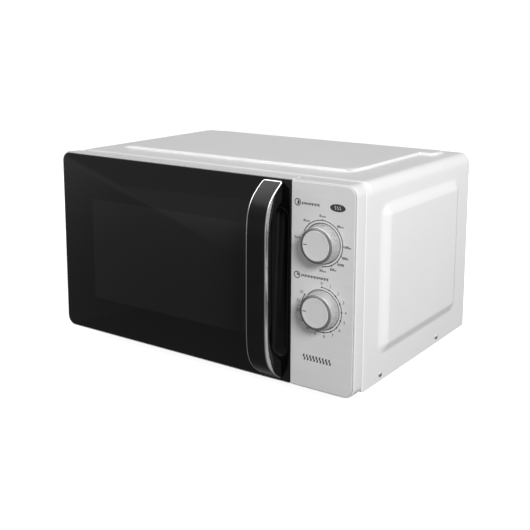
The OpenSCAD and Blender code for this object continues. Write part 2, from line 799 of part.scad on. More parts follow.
// The black inlay's section in (y, z), shrunk by g at its ends
module inlay_section(g) {
    border = 1.6 + g;
    difference() {
        intersection() {
            bow_outline(handle_z, handle_h, handle_out, handle_out - handle_t, grip_inset);
            translate([-handle_out - 1, handle_z + border]) square([handle_out + 1, handle_h - 2 * border]);
        }
        bow_outline(handle_z + 3.6, handle_h - 7.2, handle_out - 4, -1, 0);
    }
}

module handle_bow() color("silver") in_place() {
    difference() {
        slab_x(handle_x, handle_x + handle_w)
            bow_outline(handle_z, handle_h, handle_out - 0.8, handle_out - handle_t, grip_inset);
        slab_x(handle_x + 1.6, handle_x + handle_w - 1.6) inlay_section(0);
        for (z = screw_z) bar_y(screw_x, z, 2.1, -8, 1);
    }
}

module handle_face() color("black") in_place() {
    slab_x(handle_x + 1.7, handle_x + handle_w - 1.7) inlay_section(0.1);
}

module handle_screws() color("gray") in_place() {
    for (z = screw_z) {
        bar_y(screw_x, z, 2, -6, glass_t + 2);
        bar_y(screw_x, z, 3.5, glass_t + 2, glass_t + 4.2);
    }
}

module latch_slider() color("whitesmoke") in_place() {
    box([345, slider_y[0], slider_z[0]], [361, slider_y[1], slider_z[1]]);
    for (z = hook_z) {
        box([hook_x[0], slider_y[1], z], [hook_x[1], 36, z + hook_h]);
        slab_x(hook_x[0], hook_x[1]) polygon([[31, z], [36, z], [36, z - 1], [31, z - 4]]);
    }
}

// A coil spring between the slider and its seat, swept round its axis
module latch_spring() color("silver") in_place() {
    turns = 6;
    coil_r = 2.2;
    wire_r = 0.4;
    rise = spring_top - slider_z[1] - 2 * wire_r - 0.2;
    rings = turns * 12;
    sides = 6;
    points = [for (i = [0 : rings]) for (j = [0 : sides - 1])
        let (a = 360 * turns * i / rings, b = 360 * j / sides, r = coil_r + wire_r * cos(b))
        [r * cos(a), r * sin(a), rise * i / rings + wire_r * sin(b)]];
    sides_of = [for (i = [0 : rings - 1]) for (j = [0 : sides - 1])
        let (k = (j + 1) % sides) [i * sides + j, (i + 1) * sides + j, (i + 1) * sides + k, i * sides + k]];
    low_end = [[for (j = [0 : sides - 1]) j]];
    high_end = [[for (j = [sides - 1 : -1 : 0]) rings * sides + j]];
    translate([353, (slider_y[0] + slider_y[1]) / 2, slider_z[1] + wire_r + 0.1])
        polyhedron(points, concat(sides_of, low_end, high_end));
}

outer_cover();
cover_screws();
front_plate();
base_plate();
rear_panel();
feet();
cord_gland();
panel_housing();
panel_fascia();
timer_unit();
timer_bell();
power_selector_unit();
cavity_shell();
waveguide_cover();
grill_heater();
heater_brackets();
lamp_holder();
lamp_bulb();
waveguide();
magnetron_yoke();
magnetron_tube();
magnetron_fins();
thermal_cutouts();
transformer_core();
transformer_windings();
capacitor();
capacitor_clamp();
hv_diode();
fan_shroud();
fan_motor();
noise_filter_board();
turntable_motor();
hinge_upper();
hinge_lower();
latch_board();
interlock_switches();
door_frame();
door_glass();
door_choke_panel();
door_choke_cover();
door_inner_film();
handle_pocket();
handle_bow();
handle_face();
handle_screws();
latch_slider();
latch_spring();
timer_knob();
timer_spindle();
power_knob();
power_spindle();
motor_spindle();
turntable_coupler();
glass_tray();
roller_ring();
roller_1();
roller_2();
roller_3();
fan_blade();
fan_spindle();
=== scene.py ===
"""Countertop microwave oven with a side-hinged door, two dials and a grill.

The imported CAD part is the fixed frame. Every piece here is placed from the boxes of its nodes.
Shapes are worked out in millimetres in body axes: x from the door's left edge, y back from the
door glass, z up from the underside of the door. place() puts them in the frame of the part.
"""

import json
import math

import bmesh
import bpy
import numpy as np
from mathutils import Matrix, Vector

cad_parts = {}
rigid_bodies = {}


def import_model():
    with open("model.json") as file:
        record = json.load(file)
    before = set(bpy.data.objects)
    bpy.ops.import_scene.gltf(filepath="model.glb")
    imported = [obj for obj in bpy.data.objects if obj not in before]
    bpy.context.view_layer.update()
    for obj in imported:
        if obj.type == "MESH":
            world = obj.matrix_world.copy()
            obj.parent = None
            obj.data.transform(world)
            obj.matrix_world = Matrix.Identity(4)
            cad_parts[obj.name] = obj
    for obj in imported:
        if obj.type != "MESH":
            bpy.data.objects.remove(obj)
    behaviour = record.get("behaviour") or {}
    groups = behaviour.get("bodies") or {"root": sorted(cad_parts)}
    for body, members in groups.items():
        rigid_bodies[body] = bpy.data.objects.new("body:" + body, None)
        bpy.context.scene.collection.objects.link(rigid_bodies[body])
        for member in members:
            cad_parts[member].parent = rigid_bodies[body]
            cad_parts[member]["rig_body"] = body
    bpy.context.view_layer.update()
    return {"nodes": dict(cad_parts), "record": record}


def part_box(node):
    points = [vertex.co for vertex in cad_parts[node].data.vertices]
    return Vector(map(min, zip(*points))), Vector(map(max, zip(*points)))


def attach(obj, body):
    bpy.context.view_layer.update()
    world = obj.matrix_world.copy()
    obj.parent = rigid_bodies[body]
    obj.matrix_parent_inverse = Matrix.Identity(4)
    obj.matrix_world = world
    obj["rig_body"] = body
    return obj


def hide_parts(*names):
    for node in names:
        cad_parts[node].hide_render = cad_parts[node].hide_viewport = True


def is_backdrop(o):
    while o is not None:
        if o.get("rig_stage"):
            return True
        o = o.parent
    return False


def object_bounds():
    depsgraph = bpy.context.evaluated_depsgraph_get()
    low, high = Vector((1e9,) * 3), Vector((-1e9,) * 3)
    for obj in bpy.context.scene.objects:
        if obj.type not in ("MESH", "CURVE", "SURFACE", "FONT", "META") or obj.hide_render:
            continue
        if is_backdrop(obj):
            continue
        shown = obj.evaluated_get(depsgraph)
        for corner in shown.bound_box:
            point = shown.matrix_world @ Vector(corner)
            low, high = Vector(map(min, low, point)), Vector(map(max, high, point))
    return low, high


bl_info = {
    "name": "Microwave oven builder",
    "version": (1, 0, 0),
    "blender": (4, 5, 0),
    "location": "View3D > Sidebar > Oven",
    "description": "Builds a countertop microwave oven around its CAD frame",
    "category": "Add Mesh",
}

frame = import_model()

MM = 0.001
ORIGIN = np.array([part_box("door_frame")[0].x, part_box("door_glass")[0].y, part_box("door_frame")[0].z])


def node_box(node):
    """Lowest and highest corners of a CAD node, in millimetres in body axes."""
    return [(np.array(corner) - ORIGIN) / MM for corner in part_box(node)]


def place(points):
    """Body axes in millimetres to the part's frame in metres."""
    return ORIGIN + np.asarray(points, float) * MM


PANEL_LOW, PANEL_HIGH = node_box("panel_housing")
COVER_LOW, COVER_HIGH = node_box("outer_cover")
BOW_LOW, BOW_HIGH = node_box("handle_bow")
TIMER_LOW, TIMER_HIGH = node_box("timer_knob")
POWER_LOW, POWER_HIGH = node_box("power_knob")
KNOB_X = float(TIMER_LOW[0] + TIMER_HIGH[0]) / 2
TIMER_Z = float(TIMER_LOW[2] + TIMER_HIGH[2]) / 2
POWER_Z = float(POWER_LOW[2] + POWER_HIGH[2]) / 2

CORNER = 13.0  # radius of the front's outer corners
HAIR = 0.04  # how far print and the painted shadow rings stand out
WINDOW = (54.0, 47.0, 313.0, 183.0)  # clear field of the door pane: x0, z0, x1, z1
HOLE = (58.0, 50.0, 309.0, 180.0)  # window of the choke panel
COVER_TOP = 240.8  # height of the cover's flat top
SIDE_FIELD = float(COVER_HIGH[0] - COVER_LOW[0] - PANEL_HIGH[0]) / 2  # from box to side, on each side
TOP_FOOT = (33, 75, 403, 290)  # foot of the raised top panel: x0, y0, x1, y1
EAR_FOOT = (380, 252, 424, 294)  # foot of its ear at the right rear
SIDE_FOOT = (54.7, 34.5, 271, 213)  # foot of each side field: y0, z0, y1, z1
BOW_RISE = 22.5  # height over which the bow leaves the door
FOOT_SHADOW = float(TIMER_HIGH[0]) - KNOB_X + 0.1  # radius of the dark ring round each knob's foot, painted shadow of the gap under the knob
ICON_X, TITLE_X = 376.0, 381.5  # icons' middles, and where the titles beside them start
BADGE_X, BADGE_Z = 427.5, 215.0  # middle of the badge
SHARP = 38  # degrees between faces that stay a sharp edge


# ---------------- shapes

def rounded(x0, z0, x1, z1, radii, steps=10):
    """Outline of a rectangle with quarter-circle corners, anticlockwise from the low left one.

    A point is its corner's centre plus radius times (cos a, sin a). Returns points and outward ways.
    """
    r = np.asarray(radii, float) * np.ones(4)
    centre = np.stack([[x0 + r[0], x1 - r[1], x1 - r[2], x0 + r[3]],
                       [z0 + r[0], z0 + r[1], z1 - r[2], z1 - r[3]]], -1)
    angle = np.array([math.pi, 1.5 * math.pi, 0, 0.5 * math.pi])[:, None] + np.linspace(0, math.pi / 2, steps)
    way = np.stack([np.cos(angle), np.sin(angle)], -1)
    points = centre[:, None] + r[:, None, None] * way
    return points.reshape(-1, 2), way.reshape(-1, 2)


def stadium(grow, steps=25):
    """Outline of the finger pocket, 1 inside its box and grown by `grow`: two half circles and two sides."""
    low, high = node_box("handle_pocket")
    x0, x1, z0, z1 = low[0] + 1 - grow, high[0] - 1 + grow, low[2] + 1 - grow, high[2] - 1 + grow
    return rounded(x0, z0, x1, z1, (x1 - x0) / 2, steps)[0]


def rings(outline, profile):
    """Rings of an outline moved inwards: ring k is outline - inset_k * way, at depth y_k."""
    points, way = outline
    prof = np.asarray(profile, float)
    flat = points[None] - prof[:, :1, None] * way[None]
    return np.stack([flat[..., 0], np.broadcast_to(prof[:, 1:2], flat.shape[:2]), flat[..., 1]], -1)


def at_depth(outline, y):
    """An (x, z) outline as a ring at depth y."""
    return np.stack([outline[:, 0], np.full(len(outline), float(y)), outline[:, 1]], -1)


def filleted(points, size, steps=5, closed=False):
    """Polyline whose corners become quadratic curves (1-t)^2 a + 2t(1-t) p + t^2 b.

    a and b lie `size` from the corner p on its two sides, or at most 0.45 of the side.
    """
    p = np.asarray(points, float)
    size = np.broadcast_to(np.asarray(size, float), (len(p),))[:, None]

    def toward(q):
        d = q - p
        length = np.linalg.norm(d, axis=1, keepdims=True)
        return p + d / np.maximum(length, 1e-9) * np.minimum(size, 0.45 * length)

    a, b = toward(np.roll(p, 1, 0)), toward(np.roll(p, -1, 0))
    t = np.linspace(0, 1, steps)[None, :, None]
    curve = (1 - t) ** 2 * a[:, None] + 2 * t * (1 - t) * p[:, None] + t * t * b[:, None]
    if closed:
        return curve.reshape(-1, 2)
    return np.concatenate([p[:1], curve[1:-1].reshape(-1, 2), p[-1:]])


def loft_faces(k, n, closed):
    """Quads between k rings of n points each; `closed` joins the last ring to the first."""
    i = np.arange(k if closed else k - 1)[:, None]
    j = np.arange(n)[None, :]
    i2, j2 = (i + 1) % k, (j + 1) % n
    return np.stack([i * n + j, i * n + j2, i2 * n + j2, i2 * n + j], -1).reshape(-1, 4)


def loft(ring_grid, closed=False):
    """Vertices and faces of rings joined one to the next, with flat caps at open ends."""
    k, n = ring_grid.shape[:2]
    faces = loft_faces(k, n, closed).tolist()
    if not closed:
        faces += [list(range(n)), list(range((k - 1) * n, k * n))]
    return ring_grid.reshape(-1, 3), faces


def thick_sheet(outer, inner):
    """Closed sheet between two grids of the same size: both grids, and quads along their four edges."""
    u, v = outer.shape[:2]
    index = np.arange(u * v).reshape(u, v)
    faces = []
    for base in (index, index + u * v):
        quads = np.stack([base[:-1, :-1], base[1:, :-1], base[1:, 1:], base[:-1, 1:]], -1)
        faces.append(quads.reshape(-1, 4))
    for edge in (index[0], index[-1], index[:, 0], index[:, -1]):
        faces.append(np.stack([edge[:-1], edge[1:], edge[1:] + u * v, edge[:-1] + u * v], -1))
    return np.concatenate([outer.reshape(-1, 3), inner.reshape(-1, 3)]), np.concatenate(faces).tolist()


def revolved(profile, centre, axis="y", n=96):
    """Profile of (radius, place along the axis) turned once: (r cos a, r sin a) about the y or z axis."""
    p = np.asarray(profile, float)
    a = np.linspace(0, 2 * math.pi, n, endpoint=False)
    u, v, along = p[:, :1] * np.cos(a), p[:, :1] * np.sin(a), np.repeat(p[:, 1:2], n, 1)
    return np.stack([u, along, v] if axis == "y" else [u, v, along], -1) + np.asarray(centre, float)


def smooth_step(t):
    """0 below 0, 1 above 1, and between them half straight ramp, half 3t^2 - 2t^3."""
    t = np.clip(t, 0, 1)
    return 0.5 * t + 0.5 * t * t * (3 - 2 * t)


def pressed(u, v, foot, bevel_u, bevel_v, radius):
    """Share of a pressed field's height: 1 on its face, 0 outside its foot.

    It is smooth_step(depth / bevel), where depth is the distance inside a rounded rectangle
    measured with v stretched by bevel_u / bevel_v, so that both bevels come out right.
    """
    k = bevel_u / bevel_v
    u0, v0, u1, v1 = foot
    qu = np.abs(u - (u0 + u1) / 2) - ((u1 - u0) / 2 - radius)
    qv = (np.abs(v - (v0 + v1) / 2) - (v1 - v0) / 2) * k + radius
    depth = np.hypot(np.maximum(qu, 0), np.maximum(qv, 0)) + np.minimum(np.maximum(qu, qv), 0) - radius
    return smooth_step(-depth / bevel_u)


def spaced(low, high, step, bends):
    """Places from low to high, `step` apart, with finer ones over each bend (from, to, spacing).

    Places less than 0.25 past the one before are dropped.
    """
    parts = [np.linspace(low, high, max(2, int(round((high - low) / step)) + 1))]
    parts += [np.arange(a, b + 1e-6, s) for a, b, s in bends]
    every = np.sort(np.clip(np.concatenate(parts), low, high))
    keep = np.concatenate([[True], np.diff(every) > 0.25])
    every = every[keep]
    every[-1] = high
    return every


def merged(*shapes):
    """Several (vertices, faces) in one."""
    verts, faces, base = [], [], 0
    for v, f in shapes:
        v = np.asarray(v).reshape(-1, 3)
        verts.append(v)
        faces += [[i + base for i in face] for face in f]
        base += len(v)
    return np.concatenate(verts), faces


# ---------------- pieces

def linked(name, data):
    """A new object with its data, in the scene."""
    obj = bpy.data.objects.new(name, data)
    bpy.context.scene.collection.objects.link(obj)
    return obj


def finished(mesh, bm, sharp):
    """The mesh from its bmesh, shaded smooth, with sharp edges where faces meet at more than `sharp`."""
    bm.to_mesh(mesh)
    bm.free()
    mesh.shade_smooth()
    mesh.set_sharp_from_angle(angle=math.radians(sharp))


def settle(obj, body, slot_name, replaces, finish=None):
    """Gives the piece its material, chosen by its finish or else its slot, and its body, and hides the CAD
    nodes that it stands for.
    """
    obj.data.materials.append(FINISHES[finish or slot_name])
    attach(obj, body)
    if replaces:
        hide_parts(*replaces)


def piece(name, shape, body, slot_name, replaces=(), sharp=SHARP, finish=None):
    """A piece from its vertices and faces: doubles merged, faces outwards."""
    verts, faces = shape
    mesh = bpy.data.meshes.new(name)
    mesh.from_pydata(place(np.asarray(verts).reshape(-1, 3)).tolist(), [], faces)
    bm = bmesh.new()
    bm.from_mesh(mesh)
    bmesh.ops.remove_doubles(bm, verts=bm.verts, dist=2e-6)
    bmesh.ops.recalc_face_normals(bm, faces=bm.faces)
    finished(mesh, bm, sharp)
    settle(linked(name, mesh), body, slot_name, replaces, finish)


def eased(node, width):
    """A copy of a CAD node with its flat faces joined and every edge rounded by `width` millimetres."""
    source = frame["nodes"][node]
    mesh = bpy.data.meshes.new(node + "_eased")
    bm = bmesh.new()
    bm.from_mesh(source.data)
    bmesh.ops.remove_doubles(bm, verts=bm.verts, dist=5e-6)
    bmesh.ops.dissolve_limit(bm, angle_limit=math.radians(0.4), verts=bm.verts, edges=bm.edges)
    finished(mesh, bm, SHARP)
    obj = linked(node + "_eased", mesh)
    bevel = obj.modifiers.new("eased_edges", "BEVEL")
    bevel.width = width * MM
    bevel.segments = 2
    bevel.limit_method = "ANGLE"
    bevel.angle_limit = math.radians(SHARP)
    bevel.use_clamp_overlap = True
    even = obj.modifiers.new("even_faces", "WEIGHTED_NORMAL")
    even.mode = "FACE_AREA"
    even.weight = 100
    even.keep_sharp = True
    mesh.materials.clear()
    settle(obj, source["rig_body"], SLOT_OF[node], (node,))


# ---------------- finishes

GROUPS, FINISHES = {}, {}
SLOT_OF = {row["node"]: row["material_slot"] for row in frame["record"]["subparts"]}
COAT_ROUGH = 0.05
BUMP_STRENGTH = 0.6
WIPE_SCALE, LINE_SCALE = 9.0, 1500.0
DOT_PITCH = 0.0026  # metres between the dots of the door's window
WINDOW_BLUR = 0.0012  # metres over which its edge fades


def feed(tree, node, inputs):
    """Fills a node's inputs, each with a value or from an output socket."""
    for key, value in inputs.items():
        if isinstance(value, bpy.types.NodeSocket):
            tree.links.new(value, node.inputs[key])
        else:
            node.inputs[key].default_value = value
    return node


def add(tree, kind, inputs=(), **settings):
    """A new shader node with its settings and inputs."""
    node = tree.nodes.new("ShaderNode" + kind)
    for key, value in settings.items():
        setattr(node, key, value)
    return feed(tree, node, dict(inputs))


def calc(tree, operation, *values, clamp=False):
    """A Math node on numbers or sockets."""
    return add(tree, "Math", enumerate(values), operation=operation, use_clamp=clamp).outputs[0]


def noise(tree, vector, scale, detail, roughness=0.5):
    """A noise texture on a vector; scale is a number or a socket."""
    return add(tree, "TexNoise", {"Vector": vector, "Scale": scale, "Detail": detail,
                                  "Roughness": roughness}).outputs["Fac"]


def new_group(name, scale, output):
    """A shader node group from a vector and a scale to one value; returns it, its inputs and its end."""
    group = bpy.data.node_groups.new(name, "ShaderNodeTree")
    sockets = group.interface
    sockets.new_socket("Vector", in_out="INPUT", socket_type="NodeSocketVector")
    sockets.new_socket("Scale", in_out="INPUT", socket_type="NodeSocketFloat").default_value = scale
    sockets.new_socket(output, in_out="OUTPUT", socket_type="NodeSocketFloat")
    given = group.nodes.new("NodeGroupInput").outputs
    return group, given["Vector"], given["Scale"], group.nodes.new("NodeGroupOutput")


def make_grain_group():
    """Orange peel or moulded grain: fine noise plus half of a coarser one."""
    group, here, scale, end = new_group("surface_grain", 900.0, "Height")
    wide = noise(group, here, calc(group, "MULTIPLY", scale, 0.16), 1.0)
    height = calc(group, "MULTIPLY_ADD", wide, 0.5, noise(group, here, scale, 3.0))
    feed(group, end, {"Height": height})
    return group


def make_wipe_group():
    """Faint wipe marks and dust: wide soft noise crossed with thin slanted streaks, from 0 to 1."""
    group, here, scale, end = new_group("wipe_marks", WIPE_SCALE, "Mask")
    cloud = noise(group, here, scale, 4.0, 0.55)
    slanted = add(group, "Mapping", {"Vector": here, "Rotation": (0.4, 0.6, 0.5),
                                     "Scale": (1.0, 6.0, 14.0)}).outputs[0]
    streak = noise(group, slanted, scale, 3.0, 0.6)
    both = calc(group, "MULTIPLY_ADD", streak, 0.45, calc(group, "MULTIPLY", cloud, 0.55))
    feed(group, end, {"Mask": calc(group, "MULTIPLY_ADD", both, 2.4, -0.7, clamp=True)})
    return group


def make_brush_group():
    """Brushed or drawn lines along x: noise stretched about 60 times."""
    group, here, scale, end = new_group("drawn_lines", 700.0, "Line")
    stretched = add(group, "Mapping", {"Vector": here, "Scale": (0.016, 1.0, 1.0)}).outputs[0]
    feed(group, end, {"Line": noise(group, stretched, scale, 2.0)})
    return group


def use_group(tree, name, vector, scale):
    """The value of a placed group."""
    return add(tree, "Group", {"Vector": vector, "Scale": scale}, node_tree=GROUPS[name]).outputs[0]


def tinted(tree, mask, low, high):
    """Colour that goes from low to high with a mask."""
    ends = {6: (*low, 1.0), 7: (*high, 1.0)}
    return add(tree, "Mix", {"Factor": mask, **ends}, data_type="RGBA").outputs[2]


def scaled_colour(colour, factor):
    """A colour times a factor, held in 0..1."""
    return tuple(min(1.0, max(0.0, c * factor)) for c in colour)


def make_finish(name, colour, rough, metal, grain, peel, wipe, vary, brushed=0.0, coat=0.0,
                specular=0.5, clear=0.0, ior=1.5, alpha=1.0):
    """A surface: colour that varies by `vary` with wipe marks, roughness by `wipe`, bump by grain.

    peel is the grain's bump distance in millimetres, brushed the share of drawn lines in it,
    clear the transmission weight.
    """
    material = bpy.data.materials.new(name)
    material.use_nodes = True
    tree = material.node_tree
    here = add(tree, "TexCoord").outputs["Object"]
    mask = use_group(tree, "wipe", here, WIPE_SCALE)
    height = use_group(tree, "grain", here, grain)
    if brushed:
        line = use_group(tree, "brush", here, LINE_SCALE)
        height = calc(tree, "MULTIPLY_ADD", line, brushed, height)
        mask = calc(tree, "MULTIPLY_ADD", line, 0.6 * brushed, calc(tree, "MULTIPLY", mask, 0.5))
    bump = add(tree, "Bump", {"Distance": peel * MM, "Strength": BUMP_STRENGTH, "Height": height})
    feed(tree, tree.nodes["Principled BSDF"], {
        "Base Color": tinted(tree, mask, scaled_colour(colour, 1 - vary), scaled_colour(colour, 1 + vary)),
        "Roughness": calc(tree, "MULTIPLY_ADD", mask, wipe, max(0.0, rough - wipe / 2), clamp=True),
        "Normal": bump.outputs["Normal"], "Metallic": metal, "Specular IOR Level": specular,
        "Coat Weight": coat, "Coat Roughness": COAT_ROUGH,
        "Transmission Weight": clear, "IOR": ior, "Alpha": alpha})
    material.diffuse_color = (*colour, 1.0)
    return material


def add_window(material):
    """Door glass: a printed black border and a window that shows a dark dot screen through it.

    The window's mask is a box test on Object coordinates with soft edges, and the dots are the
    product of two sine waves across it.
    """
    tree = material.node_tree
    split = add(tree, "SeparateXYZ", {0: add(tree, "TexCoord").outputs["Object"]})
    low, high = place([WINDOW[0], 0, WINDOW[1]]), place([WINDOW[2], 0, WINDOW[3]])
    inside, waves = [], []
    for axis in (0, 2):
        spot, middle, half = split.outputs[axis], (low + high)[axis] / 2, (high - low)[axis] / 2
        off = calc(tree, "ABSOLUTE", calc(tree, "SUBTRACT", spot, middle))
        inside.append(calc(tree, "DIVIDE", calc(tree, "SUBTRACT", half, off), WINDOW_BLUR, clamp=True))
        waves.append(calc(tree, "SINE", calc(tree, "MULTIPLY", spot, 2 * math.pi / DOT_PITCH)))
    dots = calc(tree, "MULTIPLY_ADD", calc(tree, "MULTIPLY", *waves), 0.5, 0.5)
    light = calc(tree, "MULTIPLY", calc(tree, "MULTIPLY", *inside),
                 calc(tree, "MULTIPLY_ADD", dots, 0.35, 0.65))
    feed(tree, tree.nodes["Principled BSDF"], {
        "Base Color": tinted(tree, light, (0.0022, 0.0022, 0.0023), (0.0105, 0.0105, 0.0108))})


def make_finishes(colours):
    """All materials, by the record's slot names, and a few that share a slot."""
    GROUPS.update(grain=make_grain_group(), wipe=make_wipe_group(), brush=make_brush_group())
    white, silver = tuple(colours.body_colour), tuple(colours.panel_colour)
    knob, dark = tuple(colours.knob_colour), tuple(colours.glass_colour)
    # Colour, roughness, metal, grain scale, peel, wipe and vary, as make_finish() takes them
    table = {
        "white_paint": (white, 0.3, 0, 1500, 0.018, 0.04, 0.012),
        "front_steel": ((0.6, 0.61, 0.62), 0.32, 0, 1400, 0.012, 0.1, 0.03),
        "cavity_enamel": ((0.62, 0.63, 0.64), 0.34, 0, 1100, 0.012, 0.08, 0.02),
        "zinc_plate": ((0.6, 0.61, 0.62), 0.5, 0.7, 900, 0.006, 0.16, 0.1),
        "white_plastic": (scaled_colour(white, 0.94), 0.3, 0, 1300, 0.008, 0.08, 0.012),
        "silver_fascia": (silver, 0.38, 0.12, 2600, 0.006, 0.08, 0.035),
        "silver_knob": (knob, 0.33, 0.2, 2600, 0.005, 0.06, 0.03),
        # The knob's skirt: knob colour darkened to 0.7 as painted shade on its side; the higher metal is its
        # real finish
        "knob_skirt": (scaled_colour(knob, 0.7), 0.27, 0.65, 2600, 0.005, 0.06, 0.03),
        "knob_trim": ((0.26, 0.26, 0.265), 0.24, 0.55, 900, 0.004, 0.06, 0.03),
        "black_rubber": ((0.03, 0.03, 0.03), 0.72, 0, 1800, 0.04, 0.15, 0.15),
        "screw_steel": ((0.2, 0.2, 0.21), 0.34, 0.9, 900, 0.01, 0.06, 0.15),
        "spindle_steel": ((0.55, 0.55, 0.56), 0.26, 1, 900, 0.004, 0.06, 0.03),
        "black_glass": (dark, 0.045, 0, 60, 0.0006, 0.03, 0.2),
        "gloss_black": ((0.009, 0.009, 0.0095), 0.07, 0, 120, 0.001, 0.05, 0.2),
        "handle_chrome": ((0.68, 0.68, 0.69), 0.17, 1, 900, 0.002, 0.07, 0.03),
        "screen_steel": ((0.035, 0.035, 0.036), 0.42, 0.2, 900, 0.008, 0.06, 0.1),
        "grey_plastic": ((0.16, 0.16, 0.165), 0.42, 0, 1200, 0.02, 0.1, 0.06),
        "clear_film": ((0.92, 0.94, 0.94), 0.08, 0, 900, 0.001, 0.05, 0.02),
        "tray_glass": ((0.93, 0.975, 0.965), 0.03, 0, 60, 0.002, 0.03, 0.01),
        "natural_plastic": ((0.72, 0.71, 0.67), 0.45, 0, 1100, 0.02, 0.06, 0.05),
        "mica": ((0.48, 0.42, 0.31), 0.5, 0, 500, 0.04, 0.2, 0.22),
        "heater_steel": ((0.15, 0.14, 0.135), 0.46, 0.7, 900, 0.02, 0.2, 0.3),
        "bulb_glass": ((0.97, 0.95, 0.88), 0.04, 0, 900, 0.02, 0.06, 0.01),
        "anode_copper": ((0.64, 0.42, 0.32), 0.3, 1, 900, 0.004, 0.06, 0.1),
        "fin_aluminium": ((0.72, 0.72, 0.74), 0.3, 1, 900, 0.004, 0.06, 0.06),
        "black_plastic": ((0.025, 0.025, 0.025), 0.4, 0, 1000, 0.02, 0.06, 0.1),
        "core_steel": ((0.09, 0.095, 0.105), 0.45, 0.6, 900, 0.03, 0.2, 0.25),
        "copper_winding": ((0.33, 0.115, 0.04), 0.34, 0.5, 900, 0.05, 0.06, 0.3),
        "board": ((0.4, 0.26, 0.1), 0.5, 0, 700, 0.02, 0.06, 0.15),
        "switch_red": ((0.36, 0.045, 0.03), 0.4, 0, 1000, 0.015, 0.06, 0.08),
        "zinc_screw": ((0.42, 0.42, 0.43), 0.34, 0.9, 900, 0.01, 0.06, 0.15),
        # Print ink, also the colour of the painted shadow ring round each knob's foot
        "print_ink_and_shadow": ((0.045, 0.045, 0.05), 0.45, 0, 900, 0.001, 0.06, 0.1),
        "pale_ink": ((0.62, 0.62, 0.62), 0.4, 0, 900, 0.001, 0.06, 0.05),
    }
    special = {
        "white_paint": dict(specular=0.9), "cavity_enamel": dict(coat=0.15),
        "zinc_plate": dict(brushed=0.4), "silver_fascia": dict(coat=0.1),
        "silver_knob": dict(coat=0.15), "spindle_steel": dict(brushed=0.5),
        "gloss_black": dict(specular=0.17), "clear_film": dict(clear=1, ior=1.02, alpha=0.35),
        "tray_glass": dict(clear=1, ior=1.5), "bulb_glass": dict(clear=1, ior=1.3),
        "anode_copper": dict(brushed=0.6), "fin_aluminium": dict(brushed=0.5),
        "core_steel": dict(brushed=0.9), "copper_winding": dict(brushed=1),
    }
    for name, values in table.items():
        FINISHES[name] = make_finish(name, *values, **special.get(name, {}))
    add_window(FINISHES["black_glass"])


# ---------------- cover

def cover_section():
    """The cover's arch in (x, z) from low left over the top to low right, with outward ways.

    kind is -1 on the left side, 0 on the top, 1 on the right side and 2 on the corner arcs.
    """
    x0, x1, r = COVER_LOW[0] + SIDE_FIELD, COVER_HIGH[0] - SIDE_FIELD, CORNER + 1
    rise = spaced(COVER_LOW[2], COVER_TOP - r, 9.0, [(33, 50, 1.25), (197, 215, 1.25)])
    run = spaced(x0 + r, x1 - r, 12.0, [(32, 37, 0.6), (399, 405, 0.6), (406, 424, 1.3)])
    arc = np.linspace(0, math.pi / 2, 13)[1:-1]
    bend = np.stack([-np.cos(arc), np.sin(arc)], -1)
    left = np.stack([np.full(len(rise), x0), rise], -1)
    left_arc = [x0 + r, COVER_TOP - r] + r * bend
    flat = np.stack([run, np.full(len(run), COVER_TOP)], -1)
    right_arc, right = [(part * [-1, 1] + [x0 + x1, 0])[::-1] for part in (left_arc, left)]
    parts = [left, left_arc, flat, right_arc, right]
    ways = [(-1, 0) + 0 * left, bend, (0, 1) + 0 * flat, (bend * [-1, 1])[::-1], (1, 0) + 0 * right]
    kinds = [np.full(len(p), k) for p, k in zip(parts, (-1, 2, 0, 2, 1))]
    return np.concatenate(parts), np.concatenate(ways), np.concatenate(kinds)


def build_cover(sizes):
    """The white cover: the arch carried back along y, pushed out along its ways by pressed fields.

    Its front edge rolls in by a quarter circle 1.2 long, and its top starts 0.9 low behind the front
    and comes up between 31 and 35.
    """
    section, way, kind = cover_section()
    y = spaced(20.3, COVER_HIGH[1], 11.0,
               [(20.3, 22, 0.5), (31, 36, 0.6), (53, 73, 1.4), (74, 79, 0.5), (250, 294, 1.5)])
    s, d = np.meshgrid(np.arange(len(section)), y, indexing="ij")
    x, z, k = section[s, 0], section[s, 1], kind[s]
    panel = pressed(x, d, TOP_FOOT, 2.3, 2.3, 20)
    ear = pressed(x, d, EAR_FOOT, 3.2, 6.0, 9)
    side = pressed(d, z, SIDE_FOOT, 16.3, 13.5, 18)
    rise = np.where(k == 0, sizes.panel_rise / MM * np.maximum(panel, ear), 0)
    rise = rise + np.where(np.abs(k) == 1, sizes.boss_rise / MM * side, 0)
    lip = 0.9 * (1 - np.sqrt(1 - np.clip(1 - (d - y[0]) / 1.2, 0, 1) ** 2))
    drop = 0.9 * (1 - smooth_step((d - 31.0) / 4.0)) * smooth_step((z - 212) / 16)

    def surface(depth):
        moved = rise - lip - depth
        return np.stack([x + way[s, 0] * moved, d, z + way[s, 1] * moved - drop], -1)

    piece("cover_shell", thick_sheet(surface(0), surface(sizes.sheet / MM)), "cabinet", "white_paint",
          ("outer_cover",), sharp=50)


def screw_head(centre, way, radius, high):
    """A pan head with a cross recess, and its shank's start 0.9 below.

    On a polar grid the height is a dome h(1 - (r/R)^5), less 0.8 where |u| or |v| is under 0.42
    and r is under 0.64 R.
    """
    r = np.array([0, 0.14, 0.2, 0.3, 0.42, 0.54, 0.6, 0.66, 0.78, 0.9, 0.97, 1.0])[:, None]
    a = np.linspace(0, 2 * math.pi, 48, endpoint=False)[None]
    u, v = radius * r * np.cos(a), radius * r * np.sin(a)
    cut = (np.minimum(np.abs(u), np.abs(v)) < 0.42) & (np.hypot(u, v) < 0.64 * radius)
    top = high * (1 - r ** 5) - 0.8 * cut
    way = np.asarray(way, float)
    side = np.cross(way, [0, 0, 1.0])
    flat = np.asarray(centre) + u[..., None] * side + v[..., None] * np.cross(way, side)
    return loft(np.concatenate([flat + top[..., None] * way, (flat - 0.9 * way)[::-1]]))


